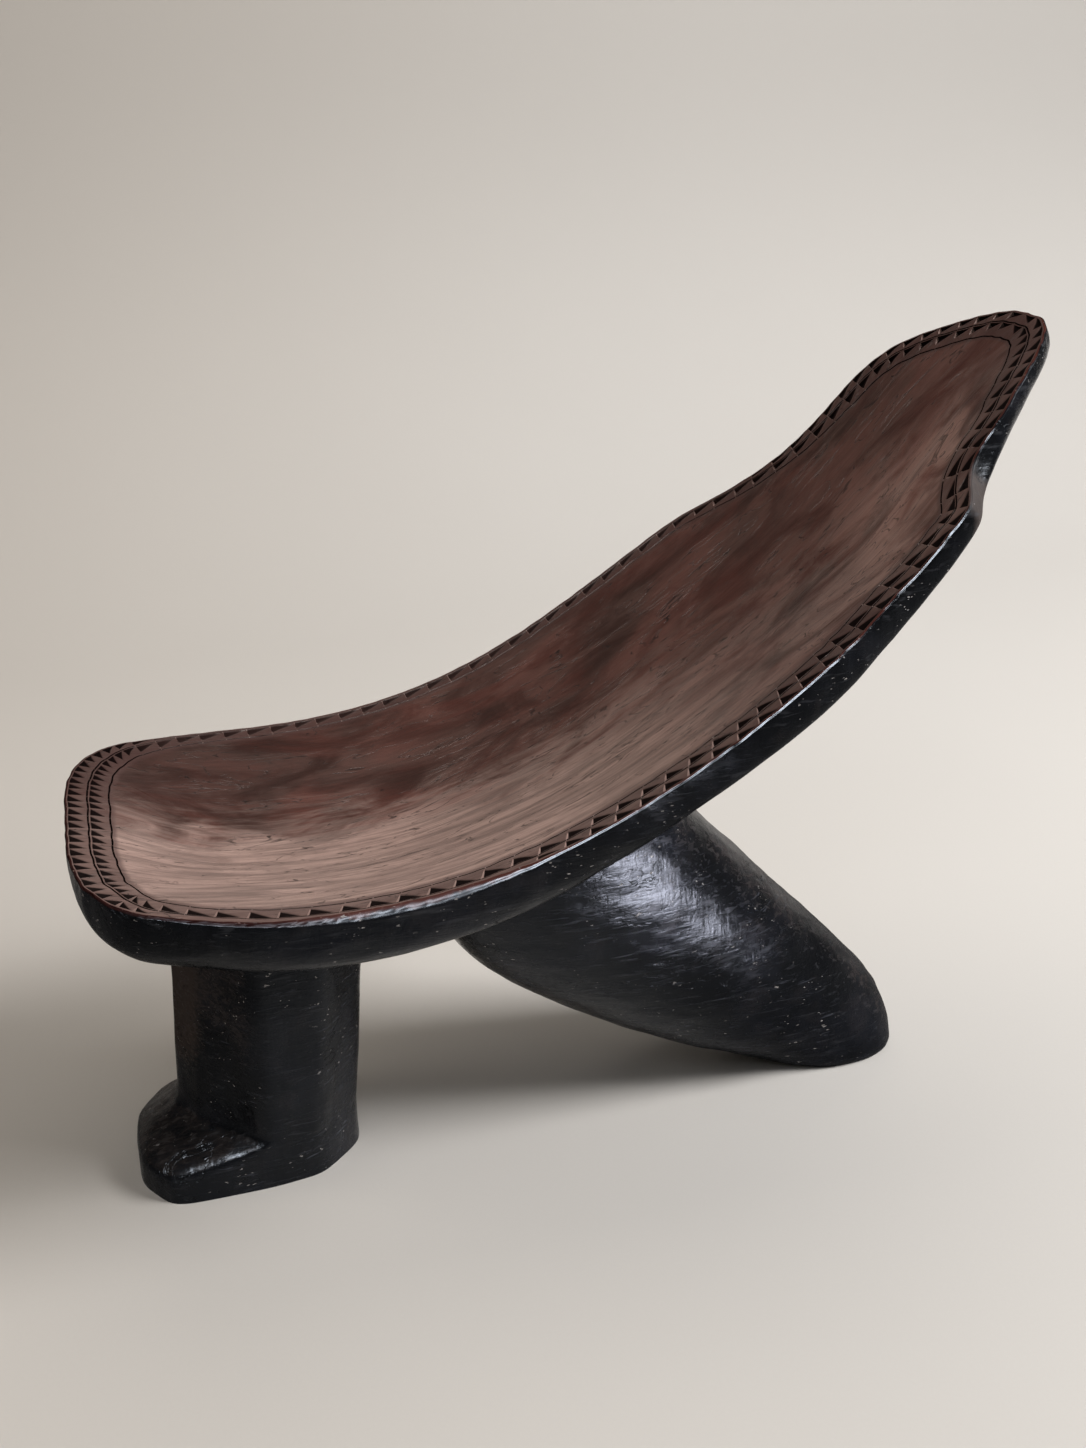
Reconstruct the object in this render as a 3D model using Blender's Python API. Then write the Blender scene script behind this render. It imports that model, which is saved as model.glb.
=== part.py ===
"""Low carved reclining chair: one dished slab carried by a footed front post and a raking rear prop.

The slab is worked out flat first, as distances along the rim and across it, and then carried along
the rim's side line. Each leg rises into the slab's underside with a stub tenon and four dowels.
"""
import math

import bmesh
import bpy
import numpy as np
from mathutils import Matrix, Vector

# Rim seen from the side: lengths along the rim and slopes of its stretches
FRONT_RIM_HEIGHT = 0.420
LIP_RUN = 0.050
SEAT_CURVE_RUN = 0.640
BACK_RUN = 0.080
NECK_CURVE_RUN = 0.200
NECK_RUN = 0.020
HEAD_CURVE_RUN = 0.130
HEAD_RUN = 0.042
LIP_SLOPE = math.radians(-7.3)
BACK_SLOPE = math.radians(34.0)
NECK_SLOPE = math.radians(48.0)
HEAD_SLOPE = math.radians(34.0)

# Rim laid flat: full width, then how far in from it each side lies at a distance along the rim
SEAT_WIDTH = 0.456
FRONT_INSETS = ((0.003, 0.140), (0.018, 0.085), (0.048, 0.047), (0.090, 0.029), (0.160, 0.012))
SIDE_INSETS = ((0.280, 0.004), (0.480, 0.001), (0.680, 0.000))
RIGHT_HEAD_INSETS = ((0.770, 0.012), (0.830, 0.029), (0.900, 0.041), (0.944, 0.051), (0.966, 0.078),
                     (0.988, 0.096), (1.030, 0.108), (1.070, 0.127), (1.105, 0.148), (1.138, 0.176))
LEFT_HEAD_INSETS = ((0.770, 0.005), (0.830, 0.029), (0.900, 0.056), (0.944, 0.064), (0.966, 0.066),
                    (0.988, 0.067), (1.030, 0.071), (1.070, 0.085), (1.105, 0.115), (1.138, 0.154))
TIP_DRIFT = 0.008

# Slab section: dish below the rim, edge thickness, underside crown and rounding of the edge,
# which keep their seat values over a first share of the seat's curve
SEAT_DISH = 0.036
BACK_DISH = 0.030
HEAD_DISH = 0.014
SEAT_EDGE = 0.068
BACK_EDGE = 0.050
HEAD_EDGE = 0.032
SEAT_ROUND = 0.046
HEAD_ROUND = 0.024
UNDERSIDE_CROWN = 0.012
EDGE_POWER = 2.2
BAND_WIDTH = 0.036
BAND_DROP = 0.003
DISH_START_FRONT = 0.150
DISH_END_HEAD = 0.100
DISH_ENTRY = 0.9
SEAT_SECTION_SHARE = 0.30

# Front leg: faceted post and the foot in front of it, as distances from the post's own centre.
# The post's corners run from front to back on each side: the right front was cut away more than the left.
POST_FROM_FRONT = 0.176
POST_RIGHT = ((-0.088, 0.010), (-0.067, -0.024), (-0.015, -0.085), (0.062, -0.079), (0.111, -0.035))
POST_LEFT = ((-0.087, 0.030), (-0.069, 0.062), (-0.015, 0.085), (0.062, 0.079), (0.111, 0.035))
POST_RAKE = 0.014
FOOT_REACH = 0.149
TOE_CORNER_REACH = 0.118
FOOT_HALF_WIDTH = 0.086
TOE_HALF_WIDTH = 0.040
HEEL_TUCK = 0.022
TOE_HEIGHT = 0.034
INSTEP_HEIGHT = 0.052
POST_START = 0.060
POST_ARRIS = 0.004

# Rear leg: distance behind the rim's front edge, height, half depth and half width of each section
REAR_SECTIONS = ((0.497, 0.312, 0.148, 0.108), (0.555, 0.242, 0.154, 0.105), (0.643, 0.165, 0.142, 0.098),
                 (0.738, 0.094, 0.121, 0.088), (0.812, 0.042, 0.095, 0.080), (0.851, 0.004, 0.073, 0.076),
                 (0.866, -0.032, 0.066, 0.066))
REAR_HEAD_FROM_FRONT = 0.446
REAR_HEAD_HALF_DEPTH = 0.135
REAR_HEAD_HALF_WIDTH = 0.105
REAR_SECTION_TILT = math.radians(20.0)
REAR_SECTION_POWER = 2.3

# Joinery hidden in the leg heads
SEAM_GAP = 0.0003
TENON_LENGTH = 0.090
TENON_WIDTH = 0.050
TENON_RISE = 0.016
DOWEL_DIAMETER = 0.016
DOWEL_IN_SEAT = 0.018
DOWEL_IN_LEG = 0.040
DOWEL_SPREAD_LONG = 0.060
DOWEL_SPREAD_WIDE = 0.076
CUT_OVERRUN = 0.004

# Fineness of the worked-out surfaces
LINE_STEPS = 700
STEPS_PER_STATION = 4
SECTION_SIDES = 32
REAR_RINGS_PER_SECTION = 3
DOWEL_SIDES = 20
ARRIS_SEGMENTS = 2
BAND_RINGS = (0.5, 1.0)
DISH_RINGS = (0.2, 0.4, 0.6, 0.8, 1.0)
EDGE_RINGS = (0.22, 0.45, 0.72, 1.0)
UNDERSIDE_RINGS = (0.35, 0.7, 1.0)
SMOOTH_BELOW = math.radians(30.0)

BLACK_LACQUER = (0.012, 0.012, 0.014, 1.0)
RED_BROWN = (0.105, 0.042, 0.032, 1.0)
PALE_HARDWOOD = (0.42, 0.27, 0.14, 1.0)
LACQUER_ROUGHNESS = 0.32
SEAT_ROUGHNESS = 0.42
DOWEL_ROUGHNESS = 0.60


def clear_scene():
    """Empty the scene of every object."""
    for old in list(bpy.data.objects):
        bpy.data.objects.remove(old, do_unlink=True)


def ease(start, end, share):
    """Pass from start to end along half a cosine wave."""
    share = np.clip(share, 0.0, 1.0)
    return start + (end - start) * 0.5 * (1.0 - np.cos(np.pi * share))


class RimLine:
    """Side line of the rim: slope by distance, and the point and normal that follow from it."""

    def __init__(self):
        seat_start = LIP_RUN
        seat_end = seat_start + SEAT_CURVE_RUN
        neck_start = seat_end + BACK_RUN
        neck_end = neck_start + NECK_CURVE_RUN
        head_start = neck_end + NECK_RUN
        head_end = head_start + HEAD_CURVE_RUN
        self.seat_end = seat_end
        self.neck_end = neck_end
        self.length = head_end + HEAD_RUN
        self.along = np.linspace(0.0, self.length, LINE_STEPS)
        slope = ease(LIP_SLOPE, BACK_SLOPE, (self.along - seat_start) / SEAT_CURVE_RUN)
        slope = slope + ease(0.0, NECK_SLOPE - BACK_SLOPE, (self.along - neck_start) / NECK_CURVE_RUN)
        slope = slope + ease(0.0, HEAD_SLOPE - NECK_SLOPE, (self.along - head_start) / HEAD_CURVE_RUN)
        self.slope = slope
        step = self.length / (LINE_STEPS - 1)
        middle = 0.5 * (slope[1:] + slope[:-1])
        self.x = np.concatenate(([0.0], np.cumsum(np.cos(middle) * step)))
        self.z = FRONT_RIM_HEIGHT + np.concatenate(([0.0], np.cumsum(np.sin(middle) * step)))

    def slope_at(self, along):
        return np.interp(along, self.along, self.slope)

    def along_at_x(self, x):
        return np.interp(x, self.x, self.along)

    def place(self, along, across, rise):
        """Points of the slab: along the rim line, across it, and raised square to it."""
        slope = self.slope_at(along)
        x = np.interp(along, self.along, self.x) - np.sin(slope) * rise
        z = np.interp(along, self.along, self.z) + np.cos(slope) * rise
        return np.stack([x, across, z], axis=-1)

    def taper(self, at_seat, at_back, at_head, along):
        """A section size that passes from its seat value to the back's and then to the head's."""
        start = SEAT_SECTION_SHARE * self.seat_end
        first = ease(at_seat, at_back, (along - start) / (self.seat_end - start))
        return first + ease(0.0, at_head - at_back, (along - self.seat_end) / (self.neck_end - self.seat_end))


def spline_through(stations):
    """Chord-length cubic through the stations, with the same number of steps between each two."""
    points = np.array(stations)
    chord = np.concatenate(([0.0], np.cumsum(np.sqrt(np.linalg.norm(np.diff(points, axis=0), axis=1)))))
    tangent = np.gradient(points, chord, axis=0)
    piece = np.repeat(np.arange(len(points) - 1), STEPS_PER_STATION)
    share = np.tile(np.arange(STEPS_PER_STATION) / STEPS_PER_STATION, len(points) - 1)[:, None]
    span = (chord[piece + 1] - chord[piece])[:, None]
    start, end = points[piece], points[piece + 1]
    cubic = (start * (1 + 2 * share) * (1 - share) ** 2 + end * share ** 2 * (3 - 2 * share)
             + span * tangent[piece] * share * (1 - share) ** 2
             - span * tangent[piece + 1] * share ** 2 * (1 - share))
    return np.concatenate([cubic, points[-1:]])


def rim_side(line, head_insets, sign):
    """One side of the flat rim from the middle of the front edge to the tip."""
    insets = FRONT_INSETS + SIDE_INSETS + head_insets
    body = [(along, sign * (0.5 * SEAT_WIDTH - inset)) for along, inset in insets]
    stations = [(0.0, 0.0)] + body + [(line.length, TIP_DRIFT)]
    side = spline_through(stations)
    side[:, 0] = np.maximum(side[:, 0], 0.0)
    return side


def slab_mesh(line, name, lowered=0.0):
    """Closed dished slab: rings run in from the rim to a middle line, over the top and underneath.

    The underside lies a named distance lower on the copy that cuts the leg heads.
    """
    right = rim_side(line, RIGHT_HEAD_INSETS, -1.0)
    left = rim_side(line, LEFT_HEAD_INSETS, 1.0)
    steps = len(right) - 1
    loop = np.concatenate([right, left[-2:0:-1]])
    count = len(loop)
    chord = np.roll(loop, -1, axis=0) - np.roll(loop, 1, axis=0)
    inward = np.stack([-chord[:, 1], chord[:, 0]], axis=1)
    inward = np.roll(inward, -1, axis=0) + 2.0 * inward + np.roll(inward, 1, axis=0)
    inward = inward / np.linalg.norm(inward, axis=1)[:, None]

    along_share = 0.5 * (right[:, 0] + left[:, 0]) / line.length
    middle_along = DISH_START_FRONT + along_share * (line.length - DISH_START_FRONT - DISH_END_HEAD)
    middle = np.stack([middle_along, 0.5 * (right[:, 1] + left[:, 1])], axis=1)
    partner = np.minimum(np.arange(count), count - np.arange(count))
    centre = middle[partner]

    rings = [line.place(loop[:, 0], loop[:, 1], np.zeros(count))]
    top, under = [], []
    for share in BAND_RINGS:
        flat = loop + inward * BAND_WIDTH * share
        top.append(line.place(flat[:, 0], flat[:, 1], np.full(count, -BAND_DROP * share ** 2)))
    inner = loop + inward * BAND_WIDTH
    for share in DISH_RINGS:
        flat = inner + (centre - inner) * share
        dish = line.taper(SEAT_DISH, BACK_DISH, HEAD_DISH, flat[:, 0])
        sweep = DISH_ENTRY * share + (3 - 2 * DISH_ENTRY) * share ** 2 + (DISH_ENTRY - 2) * share ** 3
        depth = BAND_DROP + (dish - BAND_DROP) * sweep
        top.append(line.place(flat[:, 0], flat[:, 1], -depth))
    rounding = line.taper(SEAT_ROUND, 0.5 * (SEAT_ROUND + HEAD_ROUND), HEAD_ROUND, loop[:, 0])[:, None]
    for angle in EDGE_RINGS:
        share = 1.0 - math.cos(0.5 * math.pi * angle)
        flat = loop + inward * rounding * share
        fall = (1.0 - (1.0 - share) ** EDGE_POWER) ** (1.0 / EDGE_POWER)
        edge = line.taper(SEAT_EDGE, BACK_EDGE, HEAD_EDGE, flat[:, 0])
        under.append(line.place(flat[:, 0], flat[:, 1], -(edge + lowered) * fall))
    shelf = loop + inward * rounding
    for share in UNDERSIDE_RINGS:
        flat = shelf + (centre - shelf) * share
        edge = line.taper(SEAT_EDGE, BACK_EDGE, HEAD_EDGE, flat[:, 0]) + lowered
        crown = UNDERSIDE_CROWN * (1.0 - (1.0 - share) ** 2)
        under.append(line.place(flat[:, 0], flat[:, 1], -edge - crown))

    vertices = [rings[0]] + top[:-1] + [top[-1][:steps + 1]] + under[:-1] + [under[-1][:steps + 1]]
    starts = np.concatenate(([0], np.cumsum([len(ring) for ring in vertices])))
    faces = []
    top_ids = [starts[k] + np.arange(count) for k in range(len(top))] + [starts[len(top)] + partner]
    first_under = len(top) + 1
    under_ids = [np.arange(count)]
    under_ids += [starts[first_under + k] + np.arange(count) for k in range(len(under) - 1)]
    under_ids += [starts[first_under + len(under) - 1] + partner]
    for ids, turned in ((top_ids, False), (under_ids, True)):
        for outer, ring in zip(ids[:-1], ids[1:]):
            for j in range(count):
                k = (j + 1) % count
                for corner in ((outer[j], outer[k], ring[k]), (outer[j], ring[k], ring[j])):
                    face = [int(c) for c in corner]
                    if len(set(face)) == 3:
                        faces.append(face[::-1] if turned else face)
    mesh = bpy.data.meshes.new(name)
    mesh.from_pydata(np.concatenate(vertices).tolist(), [], faces)
    return mesh


def closed_loft(rings, name):
    """Body through rings of equal count, closed by a face at both ends, with its faces outward."""
    shape = bmesh.new()
    rows = [[shape.verts.new(point) for point in ring] for ring in rings]
    count = len(rows[0])
    for low, high in zip(rows[:-1], rows[1:]):
        for j in range(count):
            shape.faces.new((low[j], low[(j + 1) % count], high[(j + 1) % count], high[j]))
    shape.faces.new(rows[0][::-1])
    shape.faces.new(rows[-1])
    bmesh.ops.recalc_face_normals(shape, faces=shape.faces)
    mesh = bpy.data.meshes.new(name)
    shape.to_mesh(mesh)
    shape.free()
    return mesh


def slab_middle(line, along):
    """Height of the slab's core under the rim line, square to it, at the middle of its wall."""
    dish = line.taper(SEAT_DISH, BACK_DISH, HEAD_DISH, along)
    edge = line.taper(SEAT_EDGE, BACK_EDGE, HEAD_EDGE, along)
    return -0.5 * (dish + edge + UNDERSIDE_CROWN)


def slab_underside(line, along):
    """Depth of the underside below the rim line at the middle of the slab."""
    return -line.taper(SEAT_EDGE, BACK_EDGE, HEAD_EDGE, along) - UNDERSIDE_CROWN


def front_leg_mesh(line, name):
    """Post and foot in one loft: the foot's outline narrows at the instep to the faceted post."""
    rake = Vector((POST_RAKE, 0.0, 0.0))
    tuck = Vector((HEEL_TUCK, 0.0, 0.0))

    def half_plans(corners, side):
        """Foot, instep and head of one half, each from front to back."""
        head = [Vector((x, y, 0.0)) for x, y in corners]
        foot = [Vector((-FOOT_REACH, side * TOE_HALF_WIDTH, 0.0)),
                Vector((-TOE_CORNER_REACH, side * FOOT_HALF_WIDTH, 0.0)),
                Vector((head[2].x, side * FOOT_HALF_WIDTH, 0.0)), head[3] - tuck, head[4] - tuck]
        instep = [head[0] - rake, head[1] - rake] + foot[2:]
        return {"foot": foot, "instep": instep, "head": head}

    right = half_plans(POST_RIGHT, -1)
    left = half_plans(POST_LEFT, 1)
    corners = len(POST_RIGHT)
    tops = (TOE_HEIGHT, TOE_HEIGHT, INSTEP_HEIGHT, INSTEP_HEIGHT, INSTEP_HEIGHT)
    along = line.along_at_x(POST_FROM_FRONT)
    head = float(line.place(along, 0.0, slab_middle(line, along))[2])

    def ring(level, heights):
        near, far = ([Vector((p.x + POST_FROM_FRONT, p.y, z)) for p, z in zip(half[level], heights)]
                     for half in (right, left))
        return near + far[::-1]

    rings = [ring("foot", [0.0] * corners), ring("foot", tops), ring("instep", [POST_START] * corners),
             ring("head", [head] * corners)]
    return closed_loft(rings, name)


def rear_leg_mesh(line, name):
    """Raking prop: rounded sections, all tilted alike, from the slab's core down to the floor."""
    along = line.along_at_x(REAR_HEAD_FROM_FRONT)
    head = line.place(along, 0.0, slab_middle(line, along))
    tilt = float(line.slope_at(along))
    top = (float(head[0]), float(head[2]), REAR_HEAD_HALF_DEPTH, REAR_HEAD_HALF_WIDTH)
    stations = np.array([top] + list(REAR_SECTIONS))
    tilts = np.array([tilt] + [REAR_SECTION_TILT] * len(REAR_SECTIONS))
    place = np.arange(len(stations))
    fine = np.linspace(0, len(stations) - 1, REAR_RINGS_PER_SECTION * (len(stations) - 1) + 1)
    slope = np.gradient(stations, axis=0)
    low = np.minimum(fine.astype(int), len(stations) - 2)
    t = (fine - low)[:, None]
    sizes = (stations[low] * (1 + 2 * t) * (1 - t) ** 2 + stations[low + 1] * t ** 2 * (3 - 2 * t)
             + slope[low] * t * (1 - t) ** 2 - slope[low + 1] * t ** 2 * (1 - t))
    angle = np.linspace(0.0, 2.0 * np.pi, SECTION_SIDES, endpoint=False)
    power = 2.0 / REAR_SECTION_POWER
    deep = np.sign(np.cos(angle)) * np.abs(np.cos(angle)) ** power
    wide = np.sign(np.sin(angle)) * np.abs(np.sin(angle)) ** power
    rings = []
    for (x, z, half_depth, half_width), turn in zip(sizes, np.interp(fine, place, tilts)):
        forward = half_depth * math.cos(turn)
        upward = half_depth * math.sin(turn)
        rings.append([(x + forward * c, half_width * s, z + upward * c) for c, s in zip(deep, wide)])
    mesh = closed_loft(rings, name)
    shape = bmesh.new()
    shape.from_mesh(mesh)
    everything = shape.verts[:] + shape.edges[:] + shape.faces[:]
    cut = bmesh.ops.bisect_plane(shape, geom=everything, plane_co=(0, 0, 0), plane_no=(0, 0, 1),
                                 clear_inner=True)
    rim = [edge for edge in cut["geom_cut"] if isinstance(edge, bmesh.types.BMEdge)]
    bmesh.ops.contextual_create(shape, geom=rim)
    bmesh.ops.recalc_face_normals(shape, faces=shape.faces)
    shape.to_mesh(mesh)
    shape.free()
    return mesh


def block_mesh(size, name):
    """Rectangular block about its own centre."""
    shape = bmesh.new()
    bmesh.ops.create_cube(shape, size=1.0, matrix=Matrix.Diagonal((*size, 1.0)))
    mesh = bpy.data.meshes.new(name)
    shape.to_mesh(mesh)
    shape.free()
    return mesh


def rod_mesh(diameter, bottom, top, name):
    """Round rod along its own Z axis."""
    shape = bmesh.new()
    bmesh.ops.create_cone(shape, cap_ends=True, segments=DOWEL_SIDES, radius1=0.5 * diameter,
                          radius2=0.5 * diameter, depth=top - bottom,
                          matrix=Matrix.Translation((0.0, 0.0, 0.5 * (top + bottom))))
    mesh = bpy.data.meshes.new(name)
    shape.to_mesh(mesh)
    shape.free()
    return mesh


def finish(name, colour, roughness):
    """Principled material of one piece."""
    material = bpy.data.materials.new(name + "_finish")
    material.use_nodes = True
    shader = material.node_tree.nodes["Principled BSDF"]
    shader.inputs["Base Color"].default_value = colour
    shader.inputs["Roughness"].default_value = roughness
    shader.inputs["Metallic"].default_value = 0.0
    return material


def add_piece(name, mesh, placing, colour, roughness):
    """Named piece of the chair, at its place, with its own finish."""
    piece = bpy.data.objects.new(name, mesh)
    piece.matrix_world = placing
    mesh.materials.append(finish(name, colour, roughness))
    mesh.shade_smooth()
    mesh.set_sharp_from_angle(angle=SMOOTH_BELOW)
    bpy.context.scene.collection.objects.link(piece)
    return piece


def add_cutter(name, mesh, placing):
    """Helper body that only cuts or joins, and is never seen."""
    cutter = bpy.data.objects.new(name, mesh)
    cutter.matrix_world = placing
    cutter.hide_render = True
    cutter.display_type = "WIRE"
    bpy.context.scene.collection.objects.link(cutter)
    return cutter


def combine(piece, cutter, operation):
    """Boolean of a piece with a helper body."""
    modifier = piece.modifiers.new(operation.lower(), "BOOLEAN")
    modifier.operation = operation
    modifier.solver = "EXACT"
    modifier.object = cutter


def joint_frame(line, from_front):
    """Place on the underside, over a leg's centre, with its Z axis square to the slab."""
    along = line.along_at_x(from_front)
    point = line.place(along, 0.0, slab_underside(line, along))
    turn = Matrix.Rotation(-float(line.slope_at(along)), 4, "Y")
    return Matrix.Translation(Vector(point.tolist())) @ turn


def join_leg(seat, leg, frame, label):
    """Stub tenon on the leg, its mortise in the seat, and four dowels across the seam."""
    rise = TENON_RISE
    tenon = block_mesh((TENON_LENGTH, TENON_WIDTH, rise + DOWEL_IN_LEG), label + "_tenon")
    mortise = block_mesh((TENON_LENGTH + 2 * SEAM_GAP, TENON_WIDTH + 2 * SEAM_GAP, rise + CUT_OVERRUN),
                         label + "_mortise")
    tenon_place = frame @ Matrix.Translation((0.0, 0.0, 0.5 * (rise - DOWEL_IN_LEG)))
    mortise_place = frame @ Matrix.Translation((0.0, 0.0, SEAM_GAP + 0.5 * (rise - CUT_OVERRUN)))
    combine(leg, add_cutter(label + "_tenon_block", tenon, tenon_place), "UNION")
    combine(seat, add_cutter(label + "_mortise_block", mortise, mortise_place), "DIFFERENCE")
    for fore in (-1, 1):
        for side in (-1, 1):
            tag = "%s_dowel_%s_%s" % (label, "front" if fore < 0 else "back", "right" if side < 0 else "left")
            offset = (0.5 * fore * DOWEL_SPREAD_LONG, 0.5 * side * DOWEL_SPREAD_WIDE, 0.0)
            place = frame @ Matrix.Translation(offset)
            add_piece(tag, rod_mesh(DOWEL_DIAMETER, -DOWEL_IN_LEG, DOWEL_IN_SEAT, tag), place, PALE_HARDWOOD,
                      DOWEL_ROUGHNESS)
            hole = rod_mesh(DOWEL_DIAMETER + 2 * SEAM_GAP, -DOWEL_IN_LEG - SEAM_GAP, DOWEL_IN_SEAT + SEAM_GAP,
                            tag + "_hole")
            drill = add_cutter(tag + "_drill", hole, place)
            combine(leg, drill, "DIFFERENCE")
            combine(seat, drill, "DIFFERENCE")


def build_chair():
    """All pieces, with the chair's length centred on the origin and its soles on the floor."""
    clear_scene()
    line = RimLine()
    slab = slab_mesh(line, "seat")
    reach = [vertex.co.x for vertex in slab.vertices]
    centred = Matrix.Translation((-0.5 * (min(reach) + max(reach)), 0.0, 0.0))
    seat = add_piece("seat", slab, centred, RED_BROWN, SEAT_ROUGHNESS)
    post = front_leg_mesh(line, "front_leg")
    front_leg = add_piece("front_leg", post, centred, BLACK_LACQUER, LACQUER_ROUGHNESS)
    prop = rear_leg_mesh(line, "rear_leg")
    rear_leg = add_piece("rear_leg", prop, centred, BLACK_LACQUER, LACQUER_ROUGHNESS)
    arris = front_leg.modifiers.new("arris", "BEVEL")
    arris.width = POST_ARRIS
    arris.segments = ARRIS_SEGMENTS
    arris.limit_method = "ANGLE"
    lowered = add_cutter("seat_lowered_by_seam", slab_mesh(line, "lowered_seat", SEAM_GAP), centred)
    for leg, label, from_front in ((front_leg, "front_leg", POST_FROM_FRONT),
                                   (rear_leg, "rear_leg", REAR_HEAD_FROM_FRONT)):
        combine(leg, lowered, "DIFFERENCE")
        join_leg(seat, leg, centred @ joint_frame(line, from_front), label)


build_chair()
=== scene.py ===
"""Carved reclining chair: fine surfaces, finishes and studio, laid out as an add-on and run as a script."""
import math

import bmesh
import bpy
import numpy as np
from bpy.props import FloatProperty, FloatVectorProperty, IntProperty, PointerProperty
from bpy.types import Operator, Panel, PropertyGroup
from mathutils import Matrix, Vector


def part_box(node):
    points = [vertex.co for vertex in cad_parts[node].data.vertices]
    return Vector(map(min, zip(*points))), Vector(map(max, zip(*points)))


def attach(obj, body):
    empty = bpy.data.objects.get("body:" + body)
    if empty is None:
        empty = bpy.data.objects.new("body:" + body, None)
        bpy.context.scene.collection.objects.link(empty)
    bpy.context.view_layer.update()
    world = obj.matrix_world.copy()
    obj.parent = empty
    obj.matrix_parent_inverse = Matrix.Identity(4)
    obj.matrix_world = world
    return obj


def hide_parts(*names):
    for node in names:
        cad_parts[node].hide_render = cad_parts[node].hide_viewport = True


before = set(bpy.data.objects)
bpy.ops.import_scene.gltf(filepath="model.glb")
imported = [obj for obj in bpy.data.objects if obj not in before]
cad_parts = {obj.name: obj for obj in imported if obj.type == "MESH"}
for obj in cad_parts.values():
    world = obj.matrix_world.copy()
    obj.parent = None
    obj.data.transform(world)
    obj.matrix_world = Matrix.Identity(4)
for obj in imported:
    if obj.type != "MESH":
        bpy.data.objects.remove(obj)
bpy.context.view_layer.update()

bl_info = {
    "name": "Carved reclining chair",
    "version": (1, 0, 0),
    "blender": (4, 5, 0),
    "location": "View3D > Sidebar > Chair",
    "description": "Builds a low carved reclining chair, its finishes and a plain studio",
    "category": "Object",
}

# Rim laid flat: how far in from the full half width each side lies at a distance along the rim
FRONT_INSETS = ((0.003, 0.140), (0.018, 0.085), (0.048, 0.047), (0.090, 0.029), (0.160, 0.012))
SIDE_INSETS = ((0.280, 0.004), (0.480, 0.001), (0.680, 0.000))
RIGHT_HEAD_INSETS = ((0.770, 0.012), (0.830, 0.029), (0.900, 0.041), (0.944, 0.051), (0.966, 0.078),
                     (0.988, 0.096), (1.030, 0.108), (1.070, 0.127), (1.105, 0.148), (1.138, 0.174),
                     (1.158, 0.203))
LEFT_HEAD_INSETS = ((0.770, 0.005), (0.830, 0.029), (0.900, 0.056), (0.944, 0.064), (0.966, 0.066),
                    (0.988, 0.067), (1.030, 0.071), (1.070, 0.085), (1.105, 0.115), (1.138, 0.154),
                    (1.158, 0.190))
# Lower down, the notch in the right side of the neck is shallower
RIGHT_LOWER_INSETS = ((0.770, 0.012), (0.830, 0.028), (0.900, 0.040), (0.944, 0.052), (0.966, 0.072),
                      (0.988, 0.087), (1.030, 0.108), (1.070, 0.128), (1.105, 0.149), (1.138, 0.174),
                      (1.158, 0.203))

# Carved border by distance along the rim: margin outside the rows, outer row, gap, inner row, inner margin
FRONT_BORDER = ((0.000, 0.0032, 0.0165, 0.0045, 0.0150, 0.0040),
                (0.030, 0.0034, 0.0145, 0.0040, 0.0145, 0.0040))
TIP_BORDER = ((1.162, 0.004, 0.012, 0.004, 0.013, 0.006),)
RIGHT_BORDER = FRONT_BORDER + (
    (0.070, 0.0060, 0.0050, 0.003, 0.014, 0.004), (0.120, 0.0085, 0.0012, 0.001, 0.014, 0.003),
    (0.360, 0.0085, 0.0012, 0.001, 0.015, 0.003), (0.470, 0.003, 0.012, 0.003, 0.013, 0.003),
    (0.900, 0.003, 0.013, 0.003, 0.013, 0.003), (1.050, 0.003, 0.012, 0.004, 0.012, 0.004)) + TIP_BORDER
LEFT_BORDER = FRONT_BORDER + (
    (0.070, 0.003, 0.008, 0.004, 0.014, 0.004), (0.120, 0.003, 0.003, 0.002, 0.014, 0.003),
    (0.820, 0.003, 0.003, 0.002, 0.013, 0.003), (0.900, 0.003, 0.008, 0.003, 0.010, 0.003),
    (1.000, 0.003, 0.012, 0.004, 0.013, 0.004)) + TIP_BORDER
# Pitch of the carved triangles by distance along the rim
BORDER_PITCH = ((0.000, 0.0145), (0.020, 0.0150), (0.060, 0.0210), (0.120, 0.0265), (0.900, 0.0265),
                (1.000, 0.0235), (1.162, 0.0220))
# Distance along the rim up to which the triangles point the other way
TURN_OF_TRIANGLES = 0.030
# Fullness of the rounded edge by distance along the rim
EDGE_FULLNESS = ((0.000, 2.2), (0.550, 2.2), (0.720, 2.8), (0.930, 2.8), (1.000, 2.4), (1.162, 2.2))
# How far the right side swells out below the rim, and how far the carved cells lean back, along the rim
RIGHT_SWELL = ((0.100, 0.000), (0.200, 0.006), (0.350, 0.006), (0.460, 0.001), (0.600, 0.000))
RIGHT_LEAN = ((0.080, 0.00), (0.250, 0.45), (0.640, 0.45), (0.850, 0.00))
# Worn rounding of the right rim by distance along it
RIGHT_FILLET = ((0.000, 0.0022), (0.090, 0.0028), (0.170, 0.0040), (0.240, 0.0075), (0.340, 0.0075),
                (0.440, 0.0024), (1.162, 0.0024))

# Corners of the post's head on the right and on the left, from its front to its back, off its middle
POST_RIGHT = ((-0.088, 0.010), (-0.067, -0.024), (-0.015, -0.085), (0.062, -0.079), (0.111, -0.035))
POST_LEFT = ((-0.087, 0.030), (-0.069, 0.062), (-0.015, 0.085), (0.062, 0.079), (0.111, 0.035))
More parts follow.
